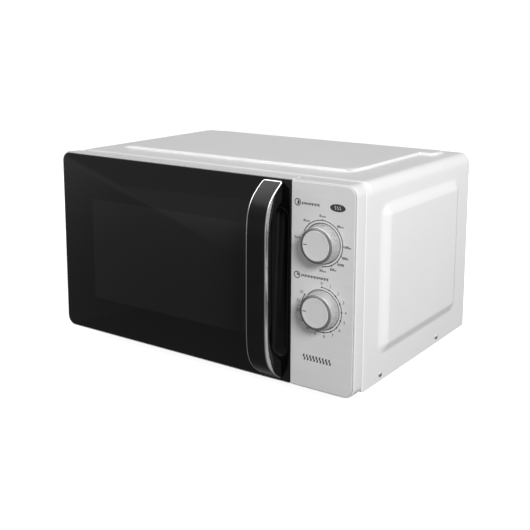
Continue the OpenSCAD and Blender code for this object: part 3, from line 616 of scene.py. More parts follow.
def build_screws():
    """Heads of the cover's screws, two low on each side and five round the rear panel."""
    low, high = node_box("cover_screws")
    right = PANEL_HIGH[0]
    heads = [((x, y, 10.6), (s, 0, 0), 3.2, 1.6)
             for s, x in ((-1, low[0] + 1.61), (1, high[0] - 1.61)) for y in (62, 216)]
    heads += [((x, high[1] - 1.55, z), (0, 1, 0), 3.2, 1.55)
              for x, z in ((18, 215), (right - 18, 215), (18, 20), (right - 18, 20), (right / 2, 228))]
    piece("case_screws", merged(*[screw_head(*head) for head in heads]), "cabinet", "screw_steel",
          ("cover_screws",), sharp=30, finish="zinc_screw")


# ---------------- front

def build_front():
    """The control panel's housing and its silver film."""
    x0, y0, z0 = PANEL_LOW
    x1, y1, z1 = PANEL_HIGH
    rim = filleted([(2.2, y1), (0, y1), (0, y0), (1.9, y0), (1.9, y0 + 0.9), (2.2, y0 + 0.9)],
                   [0, 1.1, 2.0, 0.3, 0, 0], 6, closed=True)
    shape = rounded(x0, z0, x1, z1, (2.4, CORNER, CORNER, 2.4), 12)
    piece("panel_rim", loft(rings(shape, rim), closed=True), "cabinet", "white_plastic",
          ("panel_housing",))
    back = rings(rounded(x0 + 1, z0 + 1, x1 - 1, z1 - 1, (2, 12, 12, 2), 10), [(0, 1.7), (0, 3.0)])
    piece("panel_web", loft(back), "cabinet", "white_plastic")
    low, high = node_box("panel_fascia")
    film = rounded(low[0] + 0.1, low[2], high[0], high[2], (1.2, CORNER - 1.8, CORNER - 1.8, 1.2), 12)
    edge = filleted([(0, high[1]), (0, 0), (0.9, 0)], [0, 0.7, 0], 6)
    piece("panel_film", loft(rings(film, edge)), "cabinet", "silver_fascia", ("panel_fascia",))


def arc_strip(cx, cz, r0, r1, a0, a1, steps=64):
    """Flat ring sector between radii r0 and r1, from angle a0 to a1 in degrees clockwise from the top."""
    a = np.radians(np.linspace(a0, a1, steps))[None]
    r = np.array([r0, r1])[:, None]
    return printed(cx + r * np.sin(a), cz + r * np.cos(a))


def printed(x, z, lift=HAIR):
    """A patch on the panel for print and for the painted shadow rings: the grid (x, z) as a closed sheet that
    stands `lift` out.
    """
    front = np.stack([x, np.full_like(x, -lift), z], -1)
    return thick_sheet(front, front + [0, 1.5 * HAIR, 0])


def filled(ring):
    """A printed patch inside an outline."""
    return loft(np.stack([at_depth(ring, -HAIR), at_depth(ring, 0.5 * HAIR)]))


def dot(cx, cz, radius, squash=1.0):
    """A filled disc or ellipse."""
    a = np.linspace(0, 2 * math.pi, 20, endpoint=False)
    return filled(np.stack([cx + radius * np.cos(a), cz + squash * radius * np.sin(a)], -1))


def bar(cx, cz, w, h):
    """A filled rectangle with rounded corners, centred on (cx, cz)."""
    return filled(rounded(cx - w / 2, cz - h / 2, cx + w / 2, cz + h / 2, 0.45 * min(w, h), 4)[0])


def wave(cx, cz, w, h, line, lift=HAIR):
    """An upright heat wave: x = cx + w sin(2 pi t) along z, `line` wide."""
    t = np.linspace(0, 1, 22)[None]
    side = np.array([-0.5, 0.5])[:, None] * line
    return printed(cx + w * np.sin(2 * math.pi * t) + side, cz + h * (t - 0.5) + 0 * side, lift)


def number_shape(text, cx, cz, size):
    """Figures as a thin mesh, from the built-in typeface, centred on (cx, cz)."""
    curve = bpy.data.curves.new("figure", "FONT")
    curve.body = text
    curve.size = size
    curve.align_x, curve.align_y = "CENTER", "CENTER"
    curve.extrude = 0.75 * HAIR
    curve.resolution_u = 3
    holder = linked("figure", curve)
    bpy.context.view_layer.update()
    made = bpy.data.meshes.new_from_object(holder.evaluated_get(bpy.context.evaluated_depsgraph_get()))
    co = np.zeros(len(made.vertices) * 3)
    made.vertices.foreach_get("co", co)
    co = co.reshape(-1, 3)
    faces = [list(f.vertices) for f in made.polygons]
    bpy.data.objects.remove(holder)
    bpy.data.curves.remove(curve)
    bpy.data.meshes.remove(made)
    return np.stack([cx + co[:, 0], -0.25 * HAIR - co[:, 2], cz + co[:, 1]], -1), faces


def level_icon(cx, cz, level):
    """Six bars in a row, 1.4 apart: the first `level` of them are 2.9 high and the rest 1.7."""
    high = np.where(np.arange(6) < level, 2.9, 1.7)
    return [bar(cx + 1.4 * (i - 2.5), cz - (2.9 - h) / 2, 0.9, h) for i, h in enumerate(high)]


def heading(x0, x1, cz):
    """A row of upright strokes from x0 to x1, by turns 3.3 and 2.5 high, that stands for a title."""
    step = 2.1
    return [bar(x0 + step * (i + 0.5), cz + 0.4 * (i % 2 - 1), 1.35, 3.3 - 0.8 * (i % 2))
            for i in range(int((x1 - x0) / step))]


def dial_icon(cx, cz, share):
    """A ring 1.0 wide round a filled sector that ends `share` degrees clockwise from the top."""
    radius = 4.2
    return [arc_strip(cx, cz, radius - 1.0, radius, 0, 360, 49),
            arc_strip(cx, cz, 0.01, radius - 1.7, 0, share, 24)]


def build_prints():
    """Scales and marks of both dials: rings, ticks, figures, level bars and heat waves, and round each knob's
    foot a dark ring of painted shadow.
    """
    def show(name, shapes, ink="print_ink_and_shadow"):
        piece(name, merged(*shapes), "cabinet", "silver_fascia", finish=ink)

    ink = []
    cx, cz, turn = KNOB_X, TIMER_Z, 21.6
    labels = [str(i) for i in range(11)] + ["15", "20", "25", "30"]
    for i, text in enumerate(labels):
        a = math.radians(turn * i)
        ink.append(number_shape(text, cx + 31.2 * math.sin(a), cz + 30.6 * math.cos(a), 5.0))
        ink.append(dot(cx + 26.1 * math.sin(a), cz + 26.1 * math.cos(a), 1.0))
    ink.append(arc_strip(cx, cz, 25.6, 26.5, 0, turn * (len(labels) - 1), 120))
    # Painted shadow: a dark ring round the knob's foot, where the gap under the knob lies in shade
    ink.append(arc_strip(cx, cz, FOOT_SHADOW, FOOT_SHADOW + 0.9, 0, 360, 97))
    show("timer_scale_and_shadow", ink + dial_icon(ICON_X, 132.6, 110) + heading(TITLE_X, 417.5, 133.2))

    cz = POWER_Z
    # The scale's arc, and round the knob's foot a dark ring of painted shadow
    ink = [arc_strip(cx, cz, 25.5, 26.5, -66, 176, 120), arc_strip(cx, cz, FOOT_SHADOW, FOOT_SHADOW + 0.9, 0, 360, 97)]
    for angle, bars in ((-84, 1), (-40, 2), (0, 2), (45, 3), (90, 4), (114, 5), (132, 6), (153, 4), (178, 3)):
        a = math.radians(angle)
        ink.append(arc_strip(cx, cz, 25.5, 27.3, angle - 1.1, angle + 1.1, 3))
        ink += level_icon(cx + (31.4 + 0.8 * abs(math.sin(a))) * math.sin(a), cz + 30.9 * math.cos(a), bars)
    show("power_scale_and_shadow", ink + dial_icon(ICON_X, 216, 200) + heading(TITLE_X, 404.6, 215.6))

    show("grill_badge", [dot(BADGE_X, BADGE_Z, 9.8, 0.44)])
    show("badge_waves", [wave(BADGE_X + 3.0 * i, BADGE_Z, 0.5, 4.4, 0.9, 2.2 * HAIR) for i in (-1, 0, 1)],
         "pale_ink")
    show("wave_mark", [wave(403.5 + 4.2 * i, 37.5, 0.9, 6.8, 1.9) for i in range(-4, 5)])


def build_knobs():
    """Two satin knobs: a tapered skirt, a dark bevel, a slightly dished face and a pointer; the skirt is a
    darker copy of the knob finish, as painted shade.
    """
    for dial, z, low, high in (("timer", TIMER_Z, TIMER_LOW, TIMER_HIGH),
                               ("power", POWER_Z, POWER_LOW, POWER_HIGH)):
        r, front, foot = (high[0] - low[0]) / 2, low[1], high[1]

        def turned(part, points, sizes, steps, closed=False, **look):
            section = filleted(points, sizes, steps, closed)
            piece(f"{dial}_knob_{part}", loft(revolved(section, (KNOB_X, 0, z), n=128), closed),
                  dial + "_dial", "silver_knob", **look)

        # The body takes the skirt finish, darkened as painted shade
        turned("body", [(0, foot), (r, foot), (r - 2, front + 1.5), (r - 3.4, front + 0.9), (0, front + 0.9)],
               [0, 0.5, 0.6, 0.5, 0], 6, replaces=(dial + "_knob",), sharp=30, finish="knob_skirt")
        turned("trim", [(r - 2.15, front + 1.45), (r - 2.5, front + 1.25), (r - 4.6, front + 0.12),
                        (r - 5.25, front + 0.1), (r - 5.6, front + 1.2), (r - 3.5, front + 1.8)],
               [0.1, 0.3, 0.5, 0.3, 0.1, 0.1], 5, closed=True, finish="knob_trim")
        turned("face", [(0, front + 0.42), (r - 9, front + 0.3), (r - 5.9, front), (r - 5.3, front + 0.3),
                        (r - 5.3, front + 1.2), (0, front + 1.2)], [0, 3, 0.4, 0.2, 0, 0], 6, sharp=30)
        mark = rounded(KNOB_X - 16.0, z - 0.5, KNOB_X - 11.6, z + 0.5, 0.45, 5)
        rise = [(0, front + 0.9), (0, front + 0.1), (0.2, front + 0.02)]
        piece(dial + "_pointer", loft(rings(mark, rise)), dial + "_dial", "silver_knob", finish="print_ink_and_shadow")


# ---------------- door

def dense(points, n):
    """A closed outline with n points on each side: (1 - t) a + t b from each point a to the next, b."""
    t = np.linspace(0, 1, n, endpoint=False)[None, :, None]
    return (points[:, None] * (1 - t) + np.roll(points, -1, 0)[:, None] * t).reshape(-1, 2)


def polar_ring(outline, centre, angles):
    """An outline read at given angles about a centre, by linear interpolation between its points."""
    points = dense(outline, 12)
    a = np.arctan2(points[:, 1] - centre[1], points[:, 0] - centre[0])
    return np.stack([np.interp(angles, a, points[:, i], period=2 * math.pi) for i in (0, 1)], -1)


def build_glass():
    """The black pane with its pocket opening: rings from the polished outer edge in to the opening.

    Both outlines are read at the same angles about the pocket's middle, so that every ring has
    matching points, and the section closes on itself.
    """
    low, high = node_box("door_glass")
    radii = (CORNER - 1.1, 1.2, 1.2, CORNER - 1.1)
    points, way = rounded(low[0], low[2], high[0], high[2], radii, 14)
    pocket = stadium(0.1)
    centre = (pocket.min(0) + pocket.max(0)) / 2
    angles = [np.arctan2(p[:, 1] - centre[1], p[:, 0] - centre[0]) for p in (points, pocket)]
    angles = np.sort(np.concatenate(angles + [np.linspace(-math.pi, math.pi, 73)[:-1]]))
    angles = angles[np.concatenate([[True], np.diff(angles) > 1e-4])]
    back, bevel = high[1], 0.8
    sections = [(points - inset * way, y)
                for inset, y in ((0, back), (0, bevel), (0.12, 0.4), (0.4, 0.12), (bevel, 0.0))]
    sections += [(stadium(grow), y)
                 for grow, y in ((0.7, 0.0), (0.35, 0.08), (0.12, 0.35), (0.1, 0.8), (0.1, back))]
    grid = np.stack([at_depth(polar_ring(o, centre, angles), y) for o, y in sections])
    piece("door_pane", loft(grid, closed=True), "door", "black_glass", ("door_glass",), sharp=50)


def build_pocket():
    """The finger pocket: stadium rings down a filleted wall to a flat floor, and back up outside.

    Inside its lip every depth is scaled from 0.06 at the low end to 1 at 34 and more above it.
    """
    low, high = node_box("handle_pocket")
    lip, floor, back = low[1] + 0.1, high[1] - 1, high[1]
    profile = filleted([(-0.05, back), (-0.05, lip), (1.0, lip), (1.15, floor - 2.6), (4.4, floor),
                        (9.5, floor)], [0, 0.4, 0.5, 3.2, 3.2, 0], 8)
    grid = np.stack([at_depth(stadium(-inset), y) for inset, y in profile])
    scoop = smooth_step((grid[..., 2] - low[2] - 2) / 34.0) * 0.94 + 0.06
    hollow = (np.arange(len(profile)) > np.argmax(profile[:, 0] > 0.9))[:, None]
    grid[..., 1] = np.where(hollow, lip + (grid[..., 1] - lip) * scoop, grid[..., 1])
    piece("finger_pocket", loft(grid), "door", "gloss_black", ("handle_pocket",))


def from_bow_end(z):
    """Distance of a height from the nearer end of the bow."""
    return np.minimum(z - BOW_LOW[2], BOW_HIGH[2] - z)


def bow_depth(z, out):
    """Depth of the bow at height z: out * tanh(distance from the nearer end / BOW_RISE)."""
    return out * np.tanh(np.clip(from_bow_end(z), 0, None) / BOW_RISE)


def band_depth(z, full):
    """Depth of the chrome side strip: `full` along the middle, more in its bends, none near its ends."""
    end = from_bow_end(z)
    return full * smooth_step((end - 9.5) / 13.0) * (1 + 0.28 * np.exp(-((end - 25) / 14) ** 2))


def close_at_ends(low, high, n):
    """n places from low to high, close together at both ends: half of 1 - cos(pi t)."""
    return low + (high - low) * 0.5 * (1 - np.cos(np.pi * np.linspace(0, 1, n)))


def build_handle():
    """Bow handle: a black core, a chrome band round its edges and a gloss black face."""
    x0, x1, z0, z1 = BOW_LOW[0], BOW_HIGH[0], BOW_LOW[2], BOW_HIGH[2]
    middle, half = (x0 + x1) / 2, (x1 - x0) / 2
    face_out = -float(node_box("handle_face")[0][1])

    # Core: at each height a rounded rectangle from the front to the back of the grip
    z = close_at_ends(z0, z1, 97)
    front = np.clip(bow_depth(z, face_out - 0.9), 0.02, None)
    inside = np.clip(from_bow_end(z) - 22.0, 0, None)
    back = np.minimum((face_out - 9.4) * np.tanh(inside / 18.0), front - 0.01)
    u, v = rounded(-1, 0, 1, 1, (0.09, 0.09, 0.06, 0.06), 5)[0].T[:, None]
    core = np.stack([middle + (half - 0.5) * u + 0 * z[:, None],
                     -(back[:, None] + (front - back)[:, None] * v), z[:, None] + 0 * u], -1)
    piece("grip_core", loft(core), "door", "handle_chrome", finish="gloss_black", sharp=50)

    # Band: a section of inset from the edge, depth below the bow, and share of the side strip's
    # depth, carried round the face
    points, ways = (dense(part, 40) for part in rounded(x0, z0, x1, z1, 3.0, 9))
    chain = np.cumsum(np.linalg.norm(np.diff(points, axis=0, append=points[:1]), axis=1))
    keep = np.unique(np.searchsorted(chain, np.arange(0, chain[-1], 0.8)).clip(0, len(points) - 1))
    points, ways = points[keep], ways[keep]
    strip = np.maximum(band_depth(points[:, 1], 4.8), 0.35)
    rows = []
    for inset, sink, share in ((1.35, 0.9, 0), (1.35, 0.12, 0), (1.1, 0.0, 0), (0.65, 0.0, 0), (0.3, 0.12, 0),
                               (0.06, 0.42, 0), (0.0, 0.9, 0), (0.0, 1.0, 0.5), (0.0, 1.0, 0.94),
                               (0.12, 1.1, 1.0), (0.9, 1.1, 1.0), (1.0, 1.0, 0.5)):
        p = points - inset * ways
        depth = bow_depth(p[:, 1], face_out) - sink - share * strip
        rows.append(np.stack([p[:, 0], -np.maximum(depth, 0.02 + 0.2 * (1 - share)), p[:, 1]], -1))
    piece("grip_band", loft(np.stack(rows), closed=True), "door", "handle_chrome", ("handle_bow",), sharp=50)

    # Face: a gloss sheet inside the band, crowned by 0.4(1 - u^4) across its width
    margin, thick = 1.4, 1.2
    u = np.linspace(-1, 1, 17)[None]
    z = close_at_ends(z0 + margin, z1 - margin, 121)[:, None] + 0 * u
    depth = bow_depth(z, face_out) - 0.45 + 0.4 * (1 - u ** 4)
    outer, inner = [np.stack([middle + (half - margin) * u + 0 * z, -np.maximum(y, least), z], -1)
                    for y, least in ((depth, 0.1), (depth - thick, 0.03))]
    piece("grip_face", thick_sheet(outer, inner), "door", "gloss_black", ("handle_face",), sharp=50)


def face_of(node):
    """A node's box seen from the front: (x0, z0, x1, z1), and its depths (y0, y1)."""
    low, high = node_box(node)
    return (low[0], low[2], high[0], high[2]), (low[1], high[1])


def framed(rows):
    """Rings of rounded rectangles; a row is (x0, z0, x1, z1), growth on every side, radius, depth."""
    return np.stack([at_depth(rounded(x0 - g, z0 - g, x1 + g, z1 + g, radius, 6)[0], y)
                     for (x0, z0, x1, z1), g, radius, y in rows])


def punched(y0, y1, pitch=3.5, bore=1.28):
    """Punched screen over HOLE: six-sided cells, each a plate with a six-sided hole, tiled in rows.

    A cell's outer sides are closed where no other cell shares them.
    """
    row = pitch * 0.8660254
    angle = np.radians(np.arange(6) * 60 + 30)
    cell = np.stack([np.cos(angle), np.sin(angle)], -1)
    across = np.arange(math.ceil((HOLE[2] - HOLE[0] + 6) / pitch))[None]
    up = np.arange(math.ceil((HOLE[3] - HOLE[1] + 6) / row))[:, None]
    cx = HOLE[0] - 2.4 + pitch * (across + 0.5 * (up % 2))
    cz = HOLE[1] - 2.4 + row * up + 0 * across
    centre = np.stack([cx.ravel(), cz.ravel()], -1)
    side = pitch / math.sqrt(3)
    rows = []
    for radius, y in ((side, y0), (bore, y0), (bore, y1), (side, y1)):
        flat = centre[:, None] + radius * cell[None]
        rows.append(np.stack([flat[..., 0], np.full(flat.shape[:2], y), flat[..., 1]], -1))
    verts = np.stack(rows, 1)
    j = np.arange(6)
    first = 24 * np.arange(len(centre))[:, None, None]
    middle = np.round((verts[:, 0] + np.roll(verts[:, 0], -1, 1)) * 50).astype(int).reshape(-1, 3)
    _, same, count = np.unique(middle, axis=0, return_inverse=True, return_counts=True)
    rim = np.stack([18 + j, 18 + (j + 1) % 6, (j + 1) % 6, j], -1)[None] + first
    rim = rim.reshape(-1, 4)[count[same.ravel()] == 1]
    walls = (loft_faces(4, 6, False)[None] + first).reshape(-1, 4)
    return verts.reshape(-1, 3), np.concatenate([walls, rim]).tolist()


def build_screen():
    """The door's inner side: the pressed choke panel, its punched window, the grey cover and the film."""
    choke, (_, top) = face_of("door_choke_panel")
    film, (film_y0, film_y1) = face_of("door_inner_film")
    x0, z0, x1, z1 = film
    field = (x0 - 3, z0 - 3, x1 + 3, z1 + 3)
    piece("choke_pan", loft(framed([
        (choke, 0, 2, 8), (choke, 0, 2, 13.6), (choke, -0.3, 2, 14), (choke, -0.8, 2, 13.8),
        (choke, -0.8, 2, 6.9), (field, 1.2, 3, 6.9), (field, 0, 4, 7.9), (field, 0, 4, top - 1.6),
        (field, -0.4, 4, top - 0.5), (field, -1.5, 4, top), (HOLE, 0, 3, top), (HOLE, 0, 3, top - 0.8),
        (field, -0.8, 3, top - 0.8), (field, -0.8, 3, 6.0), (choke, 0, 2, 6.0)]), closed=True),
        "door", "screen_steel", ("door_choke_panel",), sharp=45)
    piece("punched_screen", punched(top - 0.75, top - 0.25), "door", "screen_steel", sharp=30)
    ring, (y0, y1) = face_of("door_choke_cover")
    piece("choke_trim", loft(framed([
        (field, 1.0, 4, y1 - 1.5), (field, 0.4, 4, y1 - 1.2), (field, 0.4, 4, y1 - 0.5), (field, 0.9, 4, y1),
        (ring, -2.0, 3, y1), (ring, -0.7, 3, y1 - 0.4), (ring, 0, 3, y1 - 1.5), (ring, 0, 3, y0),
        (ring, -1.5, 3, y0), (ring, -1.5, 3, y1 - 1.5)]), closed=True),
        "door", "grey_plastic", ("door_choke_cover",), sharp=45)
    edge = [(0, film_y0 + 0.05), (0, film_y1 - 0.15), (0.15, film_y1)]
    piece("inner_film", loft(rings(rounded(*film, 6, 8), edge)), "door", "clear_film", ("door_inner_film",))


# ---------------- cavity and works

def build_turntable():
    """The glass tray: a closed section with a raised rim and a foot ring, and three lugs, turned once."""
    low, high = node_box("glass_tray")
    cx, cy = (low[0] + high[0]) / 2, (low[1] + high[1]) / 2
    r, z1 = (high[0] - low[0]) / 2, high[2]
    z0 = z1 - 13
    section = filleted([(0, z0), (r - 11, z0), (r - 1, z0 + 8.4), (r, z1 - 1.2), (r - 1.2, z1),
                        (r - 2.6, z1 - 0.6), (r - 4.5, z0 + 10.5), (r - 14, z0 + 5), (r - 40, z0 + 4.6),
                        (r - 44, z0 + 5.2), (r - 48, z0 + 4.6), (0, z0 + 4.6)],
                       [0, 5, 3, 0.8, 0.8, 0.8, 3, 5, 2, 2, 2, 0], 7)
    lug = filleted([(0, z0 - 2), (2.5, z0 - 2), (2.5, z0 + 0.4), (0, z0 + 0.4)], [0, 0.8, 0, 0], 5)
    lugs = [loft(revolved(lug, (cx + 13 * math.cos(a), cy + 13 * math.sin(a), 0), "z", 24))
            for a in np.radians([60, 180, 300])]
    tray = loft(revolved(section, (cx, cy, 0), "z", 144))
    piece("glass_dish", merged(tray, *lugs), "turntable", "tray_glass", ("glass_tray",))


EASED = {  # CAD nodes copied with rounded edges, and the width of the rounding
    "door_frame": 0.7, "front_plate": 0.25, "base_plate": 0.3, "rear_panel": 0.3, "feet": 0.6,
    "cord_gland": 0.5, "turntable_coupler": 0.4, "roller_ring": 0.35, "roller_1": 0.6, "roller_2": 0.6,
    "roller_3": 0.6, "waveguide_cover": 0.2, "heater_brackets": 0.3, "latch_board": 0.3,
    "latch_slider": 0.4, "hinge_upper": 0.4, "hinge_lower": 0.4, "interlock_switches": 0.4,
    "lamp_holder": 0.4, "timer_unit": 0.5, "power_selector_unit": 0.5, "turntable_motor": 0.5,
    "magnetron_yoke": 0.3, "magnetron_tube": 0.5, "transformer_core": 0.6, "transformer_windings": 1.2,
    "capacitor": 0.8, "capacitor_clamp": 0.3, "fan_shroud": 0.5, "fan_motor": 0.5, "fan_blade": 0.3,
    "noise_filter_board": 0.3, "thermal_cutouts": 0.5, "waveguide": 0.4,
}


# ---------------- studio

FLOOR_REACH = 9.0  # metres from the oven to the floor's edge
LIGHTS = (  # name, place, what it faces, width and height, watts
    ("key_softbox", (3960, -2280, 2540), (300, 100, 120), (1800, 1400), 242.0),
    ("fill_softbox", (-1400, -300, 520), (100, 120, 120), (900, 700), 8.0),
    ("rear_softbox", (-300, 1500, 380), (225, 250, 120), (1200, 600), 10.0))
CAMERA_AT = (910.84, -829.55, 415.38)
CAMERA_TURN = (0.6096, 0.1766, 0.0030)  # turn to the left, tilt down and roll, in radians
CAMERA_REACH = 905.60  # focal length and rise, in the units of FRAME_SIDE
CAMERA_RISE = 84.0
FRAME_SIDE = 530.0
SENSOR = 36.0


def build_stage(settings):
    """Floor, soft lights, surroundings and the camera."""
    floor_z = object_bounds()[0][2]
    ring = rounded(-FLOOR_REACH, -FLOOR_REACH, FLOOR_REACH, FLOOR_REACH, FLOOR_REACH - 0.1, 24)[0]
    mesh = bpy.data.meshes.new("floor")
    verts = np.column_stack([ring, np.full(len(ring), floor_z)])
    mesh.from_pydata(verts.tolist(), [], [list(range(len(ring)))])
    floor = linked("floor", mesh)
    mesh.materials.append(floor_material(settings))
    floor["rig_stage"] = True
    make_world(settings)
    for name, spot, target, size, power in LIGHTS:
        light = bpy.data.lights.new(name, "AREA")
        light.shape = "RECTANGLE"
        light.size, light.size_y = size[0] * MM, size[1] * MM
        light.energy = power * settings.light_strength
        holder = linked(name, light)
        here, there = Vector(place(spot)), Vector(place(target))
        turn = (there - here).to_track_quat("-Z", "Y").to_matrix().to_4x4()
        holder.matrix_world = Matrix.Translation(here) @ turn
        holder.visible_glossy = False
    bpy.context.scene.view_settings.view_transform = "Standard"
    bpy.context.scene.view_settings.look = "None"
    add_camera()


def spread(tree, value, source, target):
    """A value mapped smoothly from one range to another."""
    ends = dict(zip(("From Min", "From Max", "To Min", "To Max"), source + target))
    return add(tree, "MapRange", {"Value": value, **ends}, interpolation_type="SMOOTHSTEP").outputs[0]


def by_ray(tree, ray, other, own):
    """Shader that is `own` for one kind of ray and `other` for the rest."""
    kind = add(tree, "LightPath").outputs[ray]
    return add(tree, "MixShader", {0: kind, 1: other, 2: own}).outputs[0]


def floor_material(settings):
    """Pale floor: almost white seen directly, and a dimmer grey in reflections and bounced light.

    The reflected grey rises with the distance from the oven and towards its right side.
    """
    material = bpy.data.materials.new("floor")
    material.use_nodes = True
    tree = material.node_tree
    tree.nodes.remove(tree.nodes["Principled BSDF"])
    here = add(tree, "TexCoord").outputs["Object"]
    reach = add(tree, "VectorMath", {0: here}, operation="LENGTH").outputs["Value"]
    away = spread(tree, reach, (0.3, 2.2), (0.15, 0.40))
    side = spread(tree, add(tree, "SeparateXYZ", {0: here}).outputs["X"], (-0.1, 0.9), (0.0, 0.25))
    dim = add(tree, "Emission", {"Strength": calc(tree, "ADD", away, side)}).outputs[0]
    pale = add(tree, "BsdfDiffuse", {"Color": (*settings.floor_colour, 1)}).outputs[0]
    lift = add(tree, "Emission", {"Strength": 0.9}).outputs[0]
    seen = add(tree, "AddShader", {0: pale, 1: lift}).outputs[0]
    feed(tree, tree.nodes["Material Output"], {"Surface": by_ray(tree, "Is Camera Ray", dim, seen)})
    return material


def make_world(settings):
    """White surroundings. The light that they give is brighter to the right.

    What glossy surfaces mirror is dimmer at the horizon and towards the front left. Each lobe rises
    smoothly with the cosine of the angle to its direction.
    """
    world = bpy.data.worlds.new("studio")
    bpy.context.scene.world = world
    world.use_nodes = True
    tree = world.node_tree
    tree.nodes.clear()
    way = add(tree, "TexCoord").outputs["Generated"]

    def lobe(direction, source, target):
        ends = {0: way, 1: Vector(direction).normalized()}
        return spread(tree, add(tree, "VectorMath", ends, operation="DOT_PRODUCT").outputs["Value"],
                      source, target)

    def background(strength):
        return add(tree, "Background", {"Color": (1, 1, 1, 1), "Strength": strength}).outputs[0]

    soft = lobe((1, 0.1, -0.1), (-0.5, 1.0), (0.13, 0.28))
    mirrored = calc(tree, "ADD", lobe((0, 0, 1), (0.12, 0.8), (0.34, 1.1)),
                    calc(tree, "ADD", lobe((1, 0.3, 0.2), (0.0, 1.0), (0.0, 0.5)),
                         lobe((0, 0, 1), (0.44, 0.85), (0.0, 2.1))))
    soft, mirrored = [background(calc(tree, "MULTIPLY", strength, settings.light_strength))
                      for strength in (soft, mirrored)]
    lit = by_ray(tree, "Is Glossy Ray", soft, mirrored)
    add(tree, "OutputWorld", {"Surface": by_ray(tree, "Is Camera Ray", lit, background(1.0))})


def add_camera():
    """Camera from its turn, tilt and roll: it looks along `ahead`, with `up` rolled about it."""
    yaw, tilt, roll = CAMERA_TURN
    ahead = Vector((-math.sin(yaw) * math.cos(tilt), math.cos(yaw) * math.cos(tilt), -math.sin(tilt)))
    right = Vector((math.cos(yaw), math.sin(yaw), 0))
    up = right.cross(ahead)
    right, up = (math.cos(roll) * right + math.sin(roll) * up, math.cos(roll) * up - math.sin(roll) * right)
    camera = bpy.data.cameras.new("camera")
    camera.sensor_width = SENSOR
    camera.lens = CAMERA_REACH * SENSOR / FRAME_SIDE
    camera.shift_y = -CAMERA_RISE / FRAME_SIDE
    camera.clip_start, camera.clip_end = 0.02, 60
    holder = linked("camera", camera)
    turn = Matrix((right, up, -ahead)).transposed().to_4x4()
    holder.matrix_world = Matrix.Translation(Vector(place(CAMERA_AT))) @ turn
    bpy.context.scene.camera = holder


# ---------------- add-on

def size_setting(name, description, default, low, high):
    """A length in metres that the user can change."""
    return bpy.props.FloatProperty(name=name, description=description, default=default,
                                   min=low, max=high, precision=4, unit="LENGTH")


def colour_setting(name, description, default):
    """A colour that the user can change, at first a plain grey."""
    return bpy.props.FloatVectorProperty(name=name, description=description, default=(default,) * 3,
                                         subtype="COLOR", size=3, min=0, max=1)


class OvenSizes(bpy.types.PropertyGroup):
    """Sizes of the cover."""
    sheet: size_setting("Sheet thickness", "Thickness of the cover's sheet", 0.001, 0.0005, 0.0015)
    panel_rise: size_setting("Top panel rise", "Height of the raised top panel", 0.003, 0.0, 0.003)
    boss_rise: size_setting("Side field rise", "How far the side fields stand out", 0.0055, 0.0, 0.0055)


class OvenColours(bpy.types.PropertyGroup):
    """Colours of the visible finishes."""
    body_colour: colour_setting("Body", "Colour of the cover and the white plastic", 0.80)
    panel_colour: colour_setting("Panel", "Colour of the control panel's film", 0.84)
    knob_colour: colour_setting("Knobs", "Colour of the dials' knobs", 0.86)
    glass_colour: colour_setting("Glass", "Colour of the door's pane", 0.004)


class OvenStudio(bpy.types.PropertyGroup):
    """Floor and light."""
    floor_colour: colour_setting("Floor", "Colour of the floor", 0.6)
    light_strength: bpy.props.FloatProperty(name="Light", description="Strength of every light", default=1.0,
                                            min=0.0, max=5.0, subtype="FACTOR")


class OVEN_OT_finishes(bpy.types.Operator):
    """Makes the materials of every finish"""
    bl_idname = "oven.finishes"
    bl_label = "Finishes"

    def execute(self, context):
        make_finishes(context.scene.oven_colours)
        return {"FINISHED"}


class OVEN_OT_carried(bpy.types.Operator):
    """Gives the CAD parts that still show the finish of their slot"""
    bl_idname = "oven.carried"
    bl_label = "Carried parts"

    def execute(self, context):
        for node, obj in frame["nodes"].items():
            obj.data.materials.clear()
            obj.data.materials.append(FINISHES[SLOT_OF[node]])
        return {"FINISHED"}


class OVEN_OT_cover(bpy.types.Operator):
    """Builds the pressed outer cover"""
    bl_idname = "oven.cover"
    bl_label = "Cover"

    def execute(self, context):
        build_cover(context.scene.oven_sizes)
        return {"FINISHED"}


class OVEN_OT_front(bpy.types.Operator):
    """Builds the control panel's housing and film"""
    bl_idname = "oven.front"
    bl_label = "Front"

    def execute(self, context):
        build_front()
        return {"FINISHED"}


class OVEN_OT_prints(bpy.types.Operator):
    """Builds the dials' scales and marks"""
    bl_idname = "oven.prints"
    bl_label = "Prints"

    def execute(self, context):
        build_prints()
        return {"FINISHED"}


class OVEN_OT_knobs(bpy.types.Operator):
    """Builds both knobs"""
    bl_idname = "oven.knobs"
    bl_label = "Knobs"

    def execute(self, context):
        build_knobs()
        return {"FINISHED"}


class OVEN_OT_pane(bpy.types.Operator):
    """Builds the door's black pane"""
    bl_idname = "oven.pane"
    bl_label = "Door pane"

    def execute(self, context):
        build_glass()
        return {"FINISHED"}


class OVEN_OT_pocket(bpy.types.Operator):
    """Builds the pocket behind the handle"""
    bl_idname = "oven.pocket"
    bl_label = "Finger pocket"

    def execute(self, context):
        build_pocket()
        return {"FINISHED"}


class OVEN_OT_handle(bpy.types.Operator):
    """Builds the bow handle"""
    bl_idname = "oven.handle"
    bl_label = "Handle"

    def execute(self, context):
        build_handle()
        return {"FINISHED"}


class OVEN_OT_screen(bpy.types.Operator):
    """Builds the door's inner side"""
    bl_idname = "oven.screen"
    bl_label = "Door screen"

    def execute(self, context):
        build_screen()
        return {"FINISHED"}


class OVEN_OT_turntable(bpy.types.Operator):
    """Builds the glass tray"""
    bl_idname = "oven.turntable"
    bl_label = "Turntable"

    def execute(self, context):
        build_turntable()
        return {"FINISHED"}


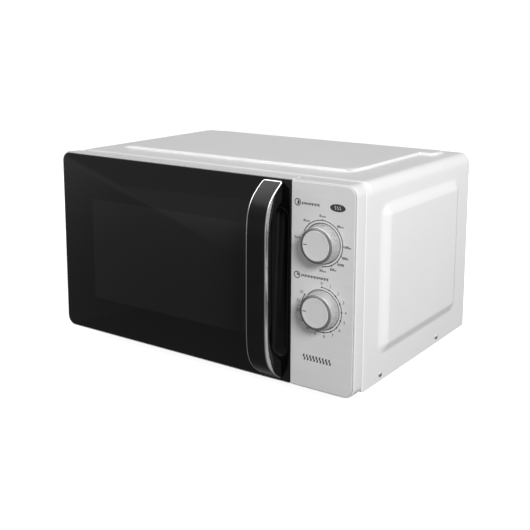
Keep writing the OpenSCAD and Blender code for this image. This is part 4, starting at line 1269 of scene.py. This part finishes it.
class OVEN_OT_works(bpy.types.Operator):
    """Rounds the edges of the parts that keep their CAD shape"""
    bl_idname = "oven.works"
    bl_label = "Working parts"

    def execute(self, context):
        for node, width in EASED.items():
            eased(node, width)
        return {"FINISHED"}


class OVEN_OT_screws(bpy.types.Operator):
    """Builds the heads of the case screws"""
    bl_idname = "oven.screws"
    bl_label = "Screws"

    def execute(self, context):
        build_screws()
        return {"FINISHED"}


class OVEN_OT_studio(bpy.types.Operator):
    """Builds the floor, the lights and the camera"""
    bl_idname = "oven.studio"
    bl_label = "Studio"

    def execute(self, context):
        build_stage(context.scene.oven_studio)
        return {"FINISHED"}


STEPS = (OVEN_OT_finishes, OVEN_OT_carried, OVEN_OT_cover, OVEN_OT_front, OVEN_OT_prints,
         OVEN_OT_knobs, OVEN_OT_pane, OVEN_OT_pocket, OVEN_OT_handle, OVEN_OT_screen,
         OVEN_OT_turntable, OVEN_OT_works, OVEN_OT_screws, OVEN_OT_studio)


class OVEN_PT_builder(bpy.types.Panel):
    """Sidebar panel with one button for each build step."""
    bl_idname = "OVEN_PT_builder"
    bl_label = "Microwave oven"
    bl_space_type = "VIEW_3D"
    bl_region_type = "UI"
    bl_category = "Oven"

    def draw(self, context):
        for group, kind in SETTINGS:
            for name in kind.__annotations__:
                self.layout.prop(getattr(context.scene, group), name)
        for step in STEPS:
            self.layout.operator(step.bl_idname)


SETTINGS = (("oven_sizes", OvenSizes), ("oven_colours", OvenColours), ("oven_studio", OvenStudio))


def register():
    for name, group in SETTINGS:
        bpy.utils.register_class(group)
        setattr(bpy.types.Scene, name, bpy.props.PointerProperty(type=group))
    for step in STEPS:
        bpy.utils.register_class(step)
    bpy.utils.register_class(OVEN_PT_builder)


def unregister():
    bpy.utils.unregister_class(OVEN_PT_builder)
    for step in reversed(STEPS):
        bpy.utils.unregister_class(step)
    for name, group in reversed(SETTINGS):
        delattr(bpy.types.Scene, name)
        bpy.utils.unregister_class(group)


def main():
    """Registers the add-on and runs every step."""
    register()
    for step in STEPS:
        getattr(bpy.ops.oven, step.bl_idname.split(".")[1])()


if __name__ == "__main__":
    main()
